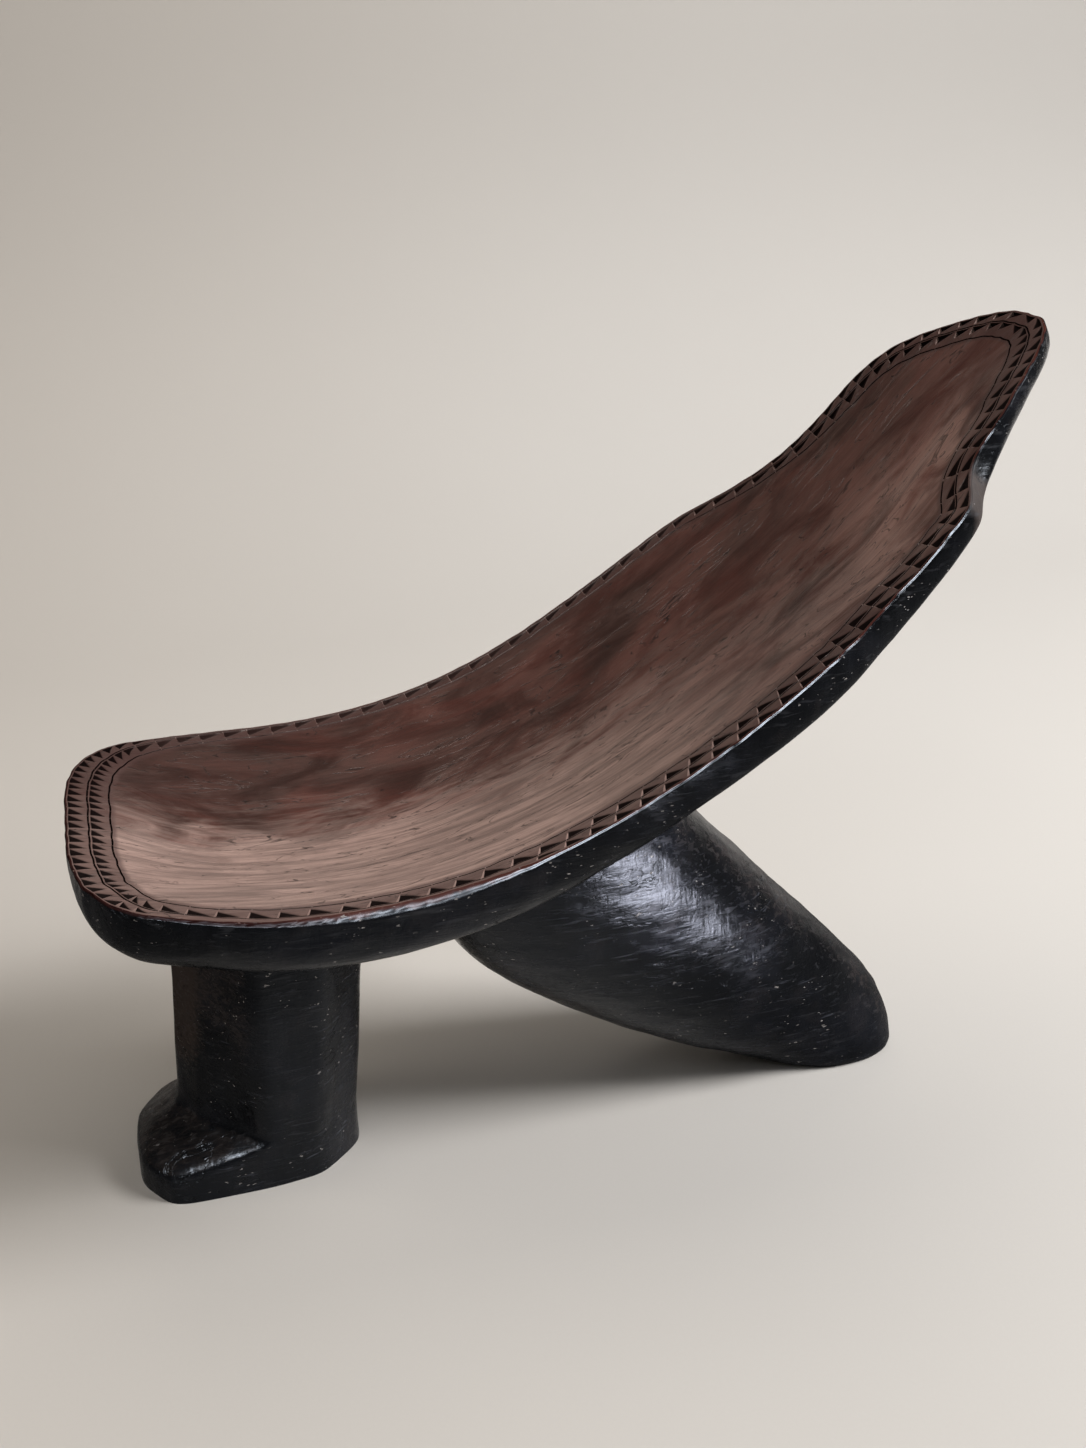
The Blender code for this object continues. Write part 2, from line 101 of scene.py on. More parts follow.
# Sections of the rear leg below the seat: distance from the front edge, height, half depth, half width
REAR_SECTIONS = ((0.497, 0.312, 0.148, 0.108), (0.555, 0.242, 0.154, 0.105), (0.643, 0.165, 0.142, 0.098),
                 (0.738, 0.094, 0.121, 0.088), (0.812, 0.042, 0.095, 0.080), (0.851, 0.004, 0.073, 0.076),
                 (0.866, -0.032, 0.066, 0.066))

# Counts that set how fine the surfaces are
LINE_POINTS = 1400
CELLS_PER_SIDE = 60
CELL_STEPS = 6
# Share of a cell that the steep wall at its square corner takes
CORNER_WALL = 0.035
# Share given to a column on a cell's edge, far enough past its sharp end that nothing is cut there
UNCUT = 2.0
DISH_ROWS = 34
EDGE_ROWS = 16
UNDER_ROWS = 8
PLAN_POINTS = 24
POST_ROWS = (10, 14, 60)
SECTION_POINTS = 160
SECTION_STEPS = 16
# Angles past which a fold of the surface is shaded sharp
SEAT_CREASE = 32.0
LEG_CREASE = 60.0

# Tool marks and unsteady lines: height, wavelength and how they stretch along each way
RIM_WANDER = (0.0007, 0.026, (1.0, 1.0))
LINE_WANDER = (0.0007, 0.05, (1.0, 1.0))
BORDER_MARKS = (0.00035, 0.035, (2.5, 1.0))
DISH_MARKS = (0.0008, 0.055, (2.6, 1.0))
FINE_DISH_MARKS = (0.0004, 0.022, (3.0, 1.0))
RIM_CHIPS = (1.0, 0.010, (1.0, 1.0))
CHIP_DEPTH = 0.0008
EDGE_MARKS = (0.0015, 0.06, (1.6, 1.0, 0.6))
UNDER_MARKS = (0.0010, 0.06, (1.0, 1.0))
POST_MARKS = (0.0009, 0.055, (1.0, 1.0, 1.8))
FINE_POST_MARKS = (0.00035, 0.016, (1.0, 1.0, 2.5))
REAR_MARKS = (0.0009, 0.075, (1.4, 1.0, 1.0))
FINE_REAR_MARKS = (0.0004, 0.02, (1.8, 1.0, 1.0))

# Small tints inside the finishes and on the studio paper
# Bluish bloom of the lacquer, partly painted sheen
HAZE_AND_PAINTED_SHEEN = (0.016, 0.018, 0.027, 1.0)
# Bluish scuff marks on the legs, partly painted sheen
SCUFF_AND_PAINTED_SHEEN = (0.075, 0.080, 0.100, 1.0)
SCRATCH = (0.10, 0.10, 0.115, 1.0)
DING = (0.50, 0.47, 0.46, 1.0)
CRACK = (0.0005, 0.0005, 0.0005, 1.0)
WORM_HOLE = (0.001, 0.001, 0.001, 1.0)
BRUISE = (0.030, 0.010, 0.009, 1.0)
# Dull brown coat where the legs are rubbed and where light is painted on them
RUBBED_LEG_AND_PAINTED_LIGHT = (0.040, 0.030, 0.026, 1.0)
CREASE = (0.014, 0.008, 0.007, 1.0)
CUT_SHADE = (0.006, 0.004, 0.004, 1.0)
PAPER_FLECK = (0.45, 0.41, 0.37, 1.0)
# Painted shade on the paper higher up
PAPER_PAINTED_SHADE_HIGH = (0.36, 0.335, 0.305, 1.0)
# Painted dark paper that only reflections see
PAPER_IN_GLOSS = (0.02, 0.02, 0.022, 1.0)

# Soft lights: place, what they look at, and width
LIGHTS = {"key_light": ((4.3, -1.75, 4.1), (0.0, 0.0, 0.2), 2.3),
          "top_light": ((0.2, 1.0, 3.2), (0.2, 0.3, 0.0), 2.4),
          "wall_light": ((2.4, 0.9, 2.6), (0.9, 3.4, 0.9), 1.8),
          "fill_light": ((-2.4, 0.6, 2.3), (0.0, 0.0, 0.4), 1.5),
          "leg_panel": ((0.27, -0.43, 0.26), (0.08, -0.11, 0.30), 0.24),
          "rim_light": ((-0.6, -1.8, 2.8), (0.1, -0.2, 0.5), 1.3)}
WARM_LIGHT = (1.0, 0.94, 0.86)
COOL_LIGHT = (0.98, 0.94, 1.0)
SKY_TINT = (1.0, 0.95, 0.88, 1.0)
PANEL_SPREAD = 44.0

# Camera: place, turn in degrees, and its focal length and the picture's height in the same unit
CAMERA_PLACE = (-0.4438, -1.369, 1.097)
CAMERA_TURN = (66.0, 0.0, -17.0)
FOCAL_LENGTH = 1500.0
PICTURE_HEIGHT = 1448.0


def length(name, description, default):
    """Property for a size in metres."""
    return FloatProperty(name=name, description=description, default=default, unit="LENGTH",
                         subtype="DISTANCE", precision=4)


def angle(name, description, degrees):
    """Property for a slope."""
    return FloatProperty(name=name, description=description, default=math.radians(degrees), unit="ROTATION",
                         subtype="ANGLE")


def share(name, description, default):
    """Property for a plain number."""
    return FloatProperty(name=name, description=description, default=default)


def colour(name, description, default):
    """Property for a linear colour."""
    return FloatVectorProperty(name=name, description=description, default=default, size=3, subtype="COLOR",
                               min=0.0, max=1.0)


class ChairSeatSizes(PropertyGroup):
    """Sizes of the dished slab and its carved border."""
    rim_height: length("Front rim height", "Height of the front rim over the floor", 0.420)
    lip_run: length("Lip run", "Straight stretch behind the front edge", 0.050)
    seat_run: length("Seat run", "Stretch over which the seat turns up into the back", 0.640)
    back_run: length("Back run", "Straight stretch of the back", 0.080)
    neck_curve: length("Neck curve", "Stretch over which the back steepens to the neck", 0.200)
    neck_run: length("Neck run", "Straight stretch of the neck", 0.020)
    head_curve: length("Head curve", "Stretch over which the neck eases into the head", 0.130)
    head_run: length("Head run", "Straight stretch of the head", 0.042)
    lip_slope: angle("Lip slope", "Slope of the front stretch", -7.3)
    back_slope: angle("Back slope", "Slope of the back", 34.0)
    neck_slope: angle("Neck slope", "Slope of the neck", 48.0)
    head_slope: angle("Head slope", "Slope of the head", 34.0)
    width: length("Seat width", "Full width over the rims", 0.456)
    tip_drift: length("Tip drift", "Sideways place of the head's tip", 0.008)
    seat_dish: length("Seat dish", "Depth of the hollow below the rim in the seat", 0.036)
    back_dish: length("Back dish", "Depth of the hollow in the back", 0.030)
    head_dish: length("Head dish", "Depth of the hollow in the head", 0.014)
    seat_edge: length("Seat edge", "Thickness of the slab's edge at the seat", 0.068)
    back_edge: length("Back edge", "Thickness of the slab's edge at the back", 0.050)
    head_edge: length("Head edge", "Thickness of the slab's edge at the head", 0.032)
    seat_round: length("Seat rounding", "Inward reach of the rounded edge at the seat", 0.046)
    head_round: length("Head rounding", "Inward reach of the rounded edge at the head", 0.024)
    crown: length("Underside crown", "How far the underside swells below its edge", 0.012)
    band_width: length("Band width", "Width over which the border falls away from the rim", 0.036)
    band_drop: length("Band drop", "Fall of the border at its inner side", 0.003)
    dish_start: length("Dish start", "Distance from the front edge to the hollow's middle line", 0.150)
    dish_end: length("Dish end", "Distance from the hollow's middle line to the tip", 0.100)
    dish_entry: share("Dish entry", "Steepness of the hollow at the border", 0.9)
    seat_share: share("Seat share", "Share of the seat's curve with the seat's full section", 0.30)
    pit_depth: length("Triangle depth", "Depth of a carved triangle at its square corner", 0.0050)
    line_depth: length("Line depth", "Depth of the incised lines", 0.0017)
    line_width: length("Line width", "Width of the incised lines", 0.0020)
    rim_fillet: length("Rim fillet", "Worn rounding of the left rim", 0.0022)


class ChairLegSizes(PropertyGroup):
    """Sizes of the footed post and the raking rear leg."""
    post_from_front: length("Post place", "Distance of the post's middle from the front edge", 0.176)
    post_rake: length("Post rake", "How far the post's base stands ahead of its head", 0.014)
    foot_reach: length("Foot reach", "Reach of the toe ahead of the post's middle", 0.149)
    toe_corner: length("Toe corner", "Reach of the toe's corner", 0.118)
    foot_half_width: length("Foot half width", "Half width of the foot", 0.086)
    toe_half_width: length("Toe half width", "Half width of the toe's front", 0.040)
    heel_tuck: length("Heel tuck", "How far the heel is drawn in", 0.022)
    toe_height: length("Toe height", "Height of the foot at the toe", 0.034)
    instep_height: length("Instep height", "Height of the foot at the post", 0.052)
    post_start: length("Post start", "Height at which the post leaves the foot", 0.060)
    rear_from_front: length("Rear leg place", "Distance of the rear leg's head from the front edge", 0.446)
    rear_half_depth: length("Rear leg half depth", "Half depth of the rear leg's head", 0.135)
    rear_half_width: length("Rear leg half width", "Half width of the rear leg's head", 0.105)
    rear_tilt: angle("Rear section tilt", "Tilt of the rear leg's sections", 20.0)
    rear_power: share("Rear section power", "Fullness of the rear leg's sections", 2.3)


class ChairFinishes(PropertyGroup):
    """Colours of the finishes and their wear."""
    red_brown: colour("Red-brown stain", "Stain of the seat", (0.112, 0.033, 0.024))
    dark_brown: colour("Dark stain", "Darker streaks of the seat", (0.054, 0.022, 0.017))
    grey_brown: colour("Grey-brown wear", "Dulled patches of the seat", (0.255, 0.156, 0.132))
    # Palest wood: rubbed wear, also painted as sheen in the front sweep and as a highlight on the carved
    # walls
    pale_wear_and_painted_sheen: colour("Pale wear", "Palest rubbed wood", (0.350, 0.238, 0.204))
    land: colour("Border lands", "Wood between the carved triangles", (0.088, 0.045, 0.040))
    lacquer: colour("Black lacquer", "Sides, underside and legs", (0.0034, 0.0036, 0.0046))
    # Brown where the lacquer is rubbed, also painted on the legs' lit faces as light
    worn_wood_and_painted_light: colour("Worn wood", "Brown wood where the lacquer is rubbed", (0.105, 0.078, 0.066))
    hardwood: colour("Dowel hardwood", "Bare wood of the hidden dowels", (0.42, 0.27, 0.14))


class ChairStage(PropertyGroup):
    """Studio around the chair."""
    floor: colour("Floor", "Seamless floor and backdrop at the right", (0.72, 0.69, 0.655))
    # Painted shade: the paper is darker at the left
    floor_painted_shade_left: colour("Floor at the left", "Seamless floor and backdrop at the left", (0.64, 0.59, 0.535))
    key_power: share("Key light", "Power of the soft light at the right", 390.0)
    top_power: share("Top light", "Power of the wide soft light overhead", 22.0)
    wall_power: share("Backdrop light", "Power of the light on the backdrop", 2.0)
    fill_power: share("Fill light", "Power of the soft light from the left", 14.0)
    panel_power: share("Leg panel", "Power of the cool light by the rear leg that only gloss shows", 0.60)
    rim_power: share("Rim light", "Power of the high front light that only gloss shows", 230.0)
    sky: share("Surrounding light", "Strength of the even light from all round", 0.065)
    seed: IntProperty(name="Seed", description="Start of the seeded wear", default=7)


def ease(start, end, part):
    """Half a cosine wave from start to end."""
    part = np.clip(part, 0.0, 1.0)
    return start + (end - start) * 0.5 * (1.0 - np.cos(np.pi * part))


def read_off(table, along, column=1):
    """A column of a table at distances along the rim, by straight lines between its rows."""
    rows = np.array(table)
    return np.interp(along, rows[:, 0], rows[:, column])


def marks(points, kind, seed):
    """Smooth unevenness of one kind: a sum of sine waves of about its length in seeded directions.

    The points are first shrunk by the kind's stretch, and the sum is scaled to about the kind's height.
    """
    height, wavelength, stretch = kind
    waves = 14
    rng = np.random.default_rng(seed)
    points = points / np.asarray(stretch)
    way = rng.normal(size=(waves, points.shape[-1]))
    way = way / np.linalg.norm(way, axis=1)[:, None]
    number = 2.0 * np.pi / (wavelength * rng.uniform(0.7, 1.5, waves))
    phase = rng.uniform(0.0, 2.0 * np.pi, waves)
    total = np.sin(points @ (way * number[:, None]).T + phase).sum(-1)
    return height * (total * math.sqrt(2.0 / waves) * 0.5)


class RimLine:
    """Side line of the rim: slope by distance, and the place that follows by adding up the slope."""

    def __init__(self, size):
        seat_end = size.lip_run + size.seat_run
        neck_start = seat_end + size.back_run
        neck_end = neck_start + size.neck_curve
        head_start = neck_end + size.neck_run
        steepen = size.neck_slope - size.back_slope
        flatten = size.head_slope - size.neck_slope
        self.size = size
        self.seat_end = seat_end
        self.neck_end = neck_end
        self.length = head_start + size.head_curve + size.head_run
        self.along = np.linspace(0.0, self.length, LINE_POINTS)
        slope = ease(size.lip_slope, size.back_slope, (self.along - size.lip_run) / size.seat_run)
        slope = slope + ease(0.0, steepen, (self.along - neck_start) / size.neck_curve)
        slope = slope + ease(0.0, flatten, (self.along - head_start) / size.head_curve)
        self.slope = slope
        step = self.along[1]
        middle = 0.5 * (slope[1:] + slope[:-1])
        self.x = np.concatenate(([0.0], np.cumsum(np.cos(middle) * step)))
        self.z = size.rim_height + np.concatenate(([0.0], np.cumsum(np.sin(middle) * step)))

    def place(self, flat, rise):
        """Points from flat ones (along, across) and a rise square to the rim line."""
        slope = np.interp(flat[..., 0], self.along, self.slope)
        x = np.interp(flat[..., 0], self.along, self.x) - np.sin(slope) * rise
        z = np.interp(flat[..., 0], self.along, self.z) + np.cos(slope) * rise
        return np.stack([x, flat[..., 1], z], axis=-1)

    def taper(self, at_seat, at_back, at_head, along):
        """A section size that passes from its seat value to the back's and then to the head's."""
        start = self.size.seat_share * self.seat_end
        first = ease(at_seat, at_back, (along - start) / (self.seat_end - start))
        second = ease(0.0, at_head - at_back, (along - self.seat_end) / (self.neck_end - self.seat_end))
        return first + second

    def edge(self, along):
        """Thickness of the slab's edge."""
        return self.taper(self.size.seat_edge, self.size.back_edge, self.size.head_edge, along)

    def dish(self, along):
        """Depth of the hollow below the rim."""
        return self.taper(self.size.seat_dish, self.size.back_dish, self.size.head_dish, along)

    def inside(self, from_front):
        """Distance along the rim and point halfway through the slab, at a distance from the front edge."""
        along = np.interp(from_front, self.x, self.along)
        depth = 0.5 * (self.edge(along) + self.dish(along) + self.size.crown)
        return along, self.place(np.array([along, 0.0]), -depth)


def cubic(points, tangent, piece, part, span=1.0):
    """Cubic pieces: each joins a point and its tangent to the next point and its tangent."""
    start, end = points[piece], points[piece + 1]
    leave, arrive = span * tangent[piece], span * tangent[piece + 1]
    return (start * (1 + 2 * part) * (1 - part) ** 2 + end * part ** 2 * (3 - 2 * part)
            + leave * part * (1 - part) ** 2 - arrive * part ** 2 * (1 - part))


def spline_through(stations, steps):
    """Cubic through the stations, spaced by the root of their distance, with steps between each two."""
    points = np.array(stations)
    chord = np.concatenate(([0.0], np.cumsum(np.sqrt(np.linalg.norm(np.diff(points, axis=0), axis=1)))))
    tangent = np.gradient(points, chord, axis=0)
    piece = np.repeat(np.arange(len(points) - 1), steps)
    part = np.tile(np.arange(steps) / steps, len(points) - 1)[:, None]
    span = (chord[piece + 1] - chord[piece])[:, None]
    return np.concatenate([cubic(points, tangent, piece, part, span), points[-1:]])


def half_rim(line, size, head_insets, sign):
    """One side of the flat rim, from the middle of the front edge to the tip, as many close points."""
    insets = FRONT_INSETS + SIDE_INSETS + head_insets
    body = [(along, sign * (0.5 * size.width - inset)) for along, inset in insets]
    side = spline_through([(0.0, 0.0)] + body + [(line.length, size.tip_drift)], 60)
    side[:, 0] = np.clip(side[:, 0], 0.0, line.length)
    return side


def run_of(points):
    """Distance along a chain of points."""
    return np.concatenate(([0.0], np.cumsum(np.linalg.norm(np.diff(points, axis=0), axis=1))))


def cell_edges(side, seed):
    """Edges of the carved cells: the pitch is added up along the rim and cut into equal counts, unevenly."""
    run = run_of(side)
    pitch = read_off(BORDER_PITCH, side[:, 0])
    count = np.concatenate(([0.0], np.cumsum(np.diff(run) / (0.5 * (pitch[1:] + pitch[:-1])))))
    wanted = np.linspace(0.0, count[-1], CELLS_PER_SIDE + 1)
    rng = np.random.default_rng(seed)
    wanted[1:-1] += rng.uniform(-0.07, 0.07, CELLS_PER_SIDE - 1)
    return np.interp(wanted, count, run)


def carve_columns(side, turned, seed):
    """Places of the mesh columns along the rim, each with its cell and its share from the square corner.

    A cell has a column on its edge, one just past the square corner's wall and equal steps up to the sharp
    end. Cells that are turned have their square corner at the far end.
    """
    edges = cell_edges(side, seed)
    inner = np.concatenate(([0.0, CORNER_WALL], np.arange(1, CELL_STEPS) / CELL_STEPS))
    backward = np.concatenate((np.arange(0, CELL_STEPS) / CELL_STEPS, [1.0 - CORNER_WALL]))
    front = np.interp(edges[:-1], run_of(side), side[:, 0]) < TURN_OF_TRIANGLES
    flip = (front & turned)[:, None]
    local = np.where(flip, backward[None], inner[None])
    reach = np.where(flip, 1.0 - backward[None], inner[None])
    reach[:, 0] = UNCUT
    place = edges[:-1, None] + local * np.diff(edges)[:, None]
    cell = np.repeat(np.arange(CELLS_PER_SIDE), local.shape[1])
    return np.append(place.ravel(), edges[-1]), np.append(reach.ravel(), UNCUT), np.append(cell, cell[-1])


def at_run(side, places):
    """Points of a chain at distances along it."""
    run = run_of(side)
    return np.stack([np.interp(places, run, side[:, k]) for k in range(2)], axis=1)


def ring_inward(loop):
    """Unit vectors into a closed flat ring, from smoothed chords."""
    chord = np.roll(loop, -3, axis=0) - np.roll(loop, 3, axis=0)
    inward = np.stack([-chord[:, 1], chord[:, 0]], axis=1)
    for _ in range(6):
        inward = inward / np.linalg.norm(inward, axis=1)[:, None]
        inward = np.roll(inward, 2, axis=0) + 2.0 * inward + np.roll(inward, -2, axis=0)
    return inward / np.linalg.norm(inward, axis=1)[:, None]


def grid_faces(rows, flipped):
    """Triangles between rings of vertex numbers, closed round, without the ones that fold to nothing."""
    low, high = rows[:-1], rows[1:]
    a, b = low, np.roll(low, -1, axis=1)
    c, d = np.roll(high, -1, axis=1), high
    split = np.broadcast_to(flipped, a.shape)[..., None]
    first = np.where(split, np.stack([a, b, c], -1), np.stack([a, b, d], -1))
    second = np.where(split, np.stack([a, c, d], -1), np.stack([b, c, d], -1))
    faces = np.concatenate([first.reshape(-1, 3), second.reshape(-1, 3)])
    whole = (faces[:, 0] != faces[:, 1]) & (faces[:, 1] != faces[:, 2]) & (faces[:, 2] != faces[:, 0])
    return faces[whole]


def mesh_from(name, points, faces, sharp, masks=None, flat=None):
    """Mesh from arrays, smooth but for sharp creases, with masks by point or face and a flat UV map."""
    mesh = bpy.data.meshes.new(name)
    mesh.vertices.add(len(points))
    mesh.vertices.foreach_set("co", np.ascontiguousarray(points, dtype=np.float32).ravel())
    mesh.loops.add(faces.size)
    mesh.loops.foreach_set("vertex_index", np.ascontiguousarray(faces, dtype=np.int32).ravel())
    mesh.polygons.add(len(faces))
    mesh.polygons.foreach_set("loop_start", np.arange(0, faces.size, faces.shape[1], dtype=np.int32))
    mesh.update(calc_edges=True)
    for key, values in (masks or {}).items():
        layer = mesh.attributes.new(key, "FLOAT", "POINT" if len(values) == len(points) else "FACE")
        layer.data.foreach_set("value", np.ascontiguousarray(values, dtype=np.float32))
    if flat is not None:
        layer = mesh.uv_layers.new(name="flat")
        layer.data.foreach_set("uv", np.ascontiguousarray(flat[faces.ravel()], dtype=np.float32).ravel())
    if mesh.validate():
        raise RuntimeError("%s: the worked-out mesh isn't whole" % name)
    mesh.shade_smooth()
    mesh.set_sharp_from_angle(angle=math.radians(sharp))
    return mesh


def add_piece(name, mesh, materials, node):
    """Piece at the origin that rides on the chair and stands for a node."""
    for material in materials:
        mesh.materials.append(material)
    piece = bpy.data.objects.new(name, mesh)
    bpy.context.scene.collection.objects.link(piece)
    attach(piece, "root")
    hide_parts(node)


def front_edge(legs):
    """Where the front edge lies along X, from the toe of the front leg's node."""
    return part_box("front_leg")[0].x - (legs.post_from_front - legs.foot_reach)


def seat_surface(size, legs, seed):
    """Closed carved slab.

    Columns run round the flat rim and rows run from it: over the border, whose triangles sink by depth times
    one less the shares along and across the cell, down the dish along a cubic to the middle line, and the
    other way down the rounded side, a superellipse, and over the crowned underside to its middle line.
    """
    line = RimLine(size)
    right = half_rim(line, size, RIGHT_HEAD_INSETS, -1.0)
    left = half_rim(line, size, LEFT_HEAD_INSETS, 1.0)
    lower = half_rim(line, size, RIGHT_LOWER_INSETS, -1.0)
    near = carve_columns(right, True, seed)
    far = carve_columns(left, False, seed + 1)
    near_rim, far_rim = at_run(right, near[0]), at_run(left, far[0])
    near_low = at_run(lower, near[0] * run_of(lower)[-1] / run_of(right)[-1])
    near_low[:, 1] -= read_off(RIGHT_SWELL, near_low[:, 0])
    half = len(near_rim) - 1
    loop = np.concatenate([near_rim, far_rim[-2:0:-1]])
    low_loop = np.concatenate([near_low, far_rim[-2:0:-1]])
    reach = np.concatenate([near[1], far[1][-2:0:-1]])
    cell = np.concatenate([near[2], CELLS_PER_SIDE + far[2][-2:0:-1]])
    is_near = np.arange(len(loop)) <= half
    count = len(loop)
    inward = ring_inward(loop)
    low_inward = ring_inward(low_loop)
    loop = loop + inward * (RIM_WANDER[0] + marks(loop, RIM_WANDER, seed + 4))[:, None]
    lean_back = np.where(is_near, read_off(RIGHT_LEAN, loop[:, 0]), 0.0)
    lean = inward + np.stack([inward[:, 1], -inward[:, 0]], axis=1) * lean_back[:, None]
    fillet = np.where(is_near, read_off(RIGHT_FILLET, loop[:, 0]), size.rim_fillet)

    def border(column):
        near_size = read_off(RIGHT_BORDER, loop[:, 0], column)
        return np.where(is_near, near_size, read_off(LEFT_BORDER, loop[:, 0], column))

    margin, outer_row, gap, inner_row, inner_margin = (border(column) for column in range(1, 6))
    rng = np.random.default_rng(seed + 2)
    each_cell = (2, 2 * CELLS_PER_SIDE)
    across_fill = rng.uniform(0.86, 1.0, each_cell)[:, cell]
    along_fill = rng.uniform(0.88, 1.02, each_cell)[:, cell]
    deep = rng.uniform(0.8, 1.15, each_cell)[:, cell] * size.pit_depth
    wobble = marks(loop, LINE_WANDER, seed + 3)
    half_line = 0.5 * size.line_width
    levels = [(fillet, 0.0, 0.0)]

    def carve_row(start, width, row):
        fade = ease(0.0, 1.0, (width - 0.004) / 0.006)
        levels.append((start, 0.0, 0.0))
        for part in [CORNER_WALL] + [k / CELL_STEPS for k in range(1, CELL_STEPS + 1)]:
            shape = np.clip(1.0 - reach / along_fill[row] - part / across_fill[row], 0.0, 1.0)
            levels.append((start + width * part, deep[row] * fade * shape, shape * fade))

    def carve_line(middle):
        for offset, depth in ((-half_line, 0.0), (0.0, 1.0), (half_line, 0.0)):
            levels.append((middle + offset, size.line_depth * depth, 0.8 * depth))

    carve_row(margin, outer_row, 0)
    inner_start = margin + outer_row + gap
    carve_line(margin + outer_row + 0.5 * gap + 0.4 * wobble)
    carve_row(inner_start, inner_row, 1)
    inner_end = inner_start + inner_row + inner_margin + wobble
    carve_line(inner_end)
    levels.append((inner_end + 0.003, 0.0, 0.0))

    rings, tops, pits, bands, flats = [], [], [], [], []

    def add_ring(flat, rise, top=0.0, pit=0.0, band=0.0):
        rings.append(line.place(flat, rise))
        tops.append(np.broadcast_to(top, (len(flat),)))
        pits.append(np.broadcast_to(pit, (len(flat),)))
        bands.append(np.broadcast_to(band, (len(flat),)))
        flats.append(flat)

    for place, depth, pit in levels:
        flat = loop + lean * np.broadcast_to(place, (count,))[:, None]
        sink = size.band_drop * (place / size.band_width) ** 2
        tool = marks(flat, BORDER_MARKS, seed + 5)
        add_ring(flat, -sink - depth + tool * np.clip(place / 0.02, 0.0, 1.0), 1.0, pit, 1.0)
    band_rows = len(rings)

    share_along = 0.5 * (near_rim[:, 0] + far_rim[:, 0]) / line.length
    share_along = 0.72 * share_along + 0.28 * np.linspace(0.0, 1.0, half + 1)
    middle_along = size.dish_start + share_along * (line.length - size.dish_start - size.dish_end)
    middle = np.stack([middle_along, 0.5 * (near_rim[:, 1] + far_rim[:, 1])], axis=1)
    smooth = np.ones(61) / 61.0
    middle[:, 1] = np.convolve(np.pad(middle[:, 1], 30, mode="edge"), smooth, mode="valid")
    partner = np.minimum(np.arange(count), count - np.arange(count))
    centre = middle[partner]
    inner_place = levels[-1][0]
    inner = loop + lean * inner_place[:, None]
    first_sink = size.band_drop * (inner_place / size.band_width) ** 2
    entry = size.dish_entry
    for k in range(1, DISH_ROWS + 1):
        part = k / DISH_ROWS
        flat = inner + (centre - inner) * part
        sweep = entry * part + (3 - 2 * entry) * part ** 2 + (entry - 2) * part ** 3
        tool = marks(flat, DISH_MARKS, seed + 6) + marks(flat, FINE_DISH_MARKS, seed + 7)
        sink = first_sink + (line.dish(flat[:, 0]) - first_sink) * sweep
        add_ring(flat, -sink + tool * min(1.0, 4.0 * part), 1.0)
    top_count = len(rings)

    back_round = 0.5 * (size.seat_round + size.head_round)
    rounding = line.taper(size.seat_round, back_round, size.head_round, loop[:, 0])
    chipped = is_near * (1.0 - ease(0.0, 1.0, (loop[:, 0] - 0.20) / 0.22)) * CHIP_DEPTH
    for turn in (0.2, 0.4, 0.6, 0.8, 1.0):
        uneven = np.clip(marks(loop + turn * 0.01, RIM_CHIPS, seed + 10), 0.0, 1.0)
        chip = chipped * uneven * math.sin(math.pi * turn)
        draw_in = fillet * (1.0 - math.sin(0.5 * math.pi * turn)) + chip
        fall = fillet * (1.0 - math.cos(0.5 * math.pi * turn)) + chip
        add_ring(loop + lean * draw_in[:, None], -fall, 1.0 - turn)
    power = read_off(EDGE_FULLNESS, loop[:, 0])
    for k in range(1, EDGE_ROWS + 1):
        part = 1.0 - math.cos(0.5 * math.pi * k / EDGE_ROWS)
        blend = ease(0.0, 1.0, 1.6 * k / EDGE_ROWS)
        base = loop + (low_loop - loop) * blend
        facing = inward + (low_inward - inward) * blend
        flat = base + facing * (rounding * part)[:, None]
        fall = (1.0 - (1.0 - part) ** power) ** (1.0 / power)
        depth = np.maximum(line.edge(flat[:, 0]) * fall, fillet * (1.0 + 0.2 * k))
        tool = marks(np.column_stack([flat, depth]), EDGE_MARKS, seed + 8) * min(1.0, k / 3.0)
        add_ring(flat + facing * (0.7 * np.abs(tool))[:, None], -depth + 0.5 * tool)
    shelf = low_loop + low_inward * rounding[:, None]
    for k in range(1, UNDER_ROWS + 1):
        part = k / UNDER_ROWS
        flat = shelf + (centre - shelf) * part
        swell = size.crown * (1.0 - (1.0 - part) ** 2)
        add_ring(flat, -line.edge(flat[:, 0]) - swell + marks(flat, UNDER_MARKS, seed + 9))

    numbers = np.arange(len(rings) * count).reshape(len(rings), count)
    numbers[top_count - 1] = numbers[top_count - 1, partner]
    numbers[-1] = numbers[-1, partner]
    flip_split = (loop[:, 0] < TURN_OF_TRIANGLES) | ~is_near
    top_faces = grid_faces(numbers[:top_count], flip_split)
    side_rows = np.concatenate([numbers[:1], numbers[top_count:]])
    side_faces = grid_faces(side_rows, flip_split)[:, ::-1]
    faces = np.concatenate([top_faces, side_faces])
    points = np.concatenate(rings)
    used, faces = np.unique(faces, return_inverse=True)
    faces = faces.reshape(-1, 3)
    points[:, 0] += front_edge(legs)
    low, high = (np.array(corner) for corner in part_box("seat"))
    points = np.clip(points, low, high)
    sunk = np.concatenate(pits)
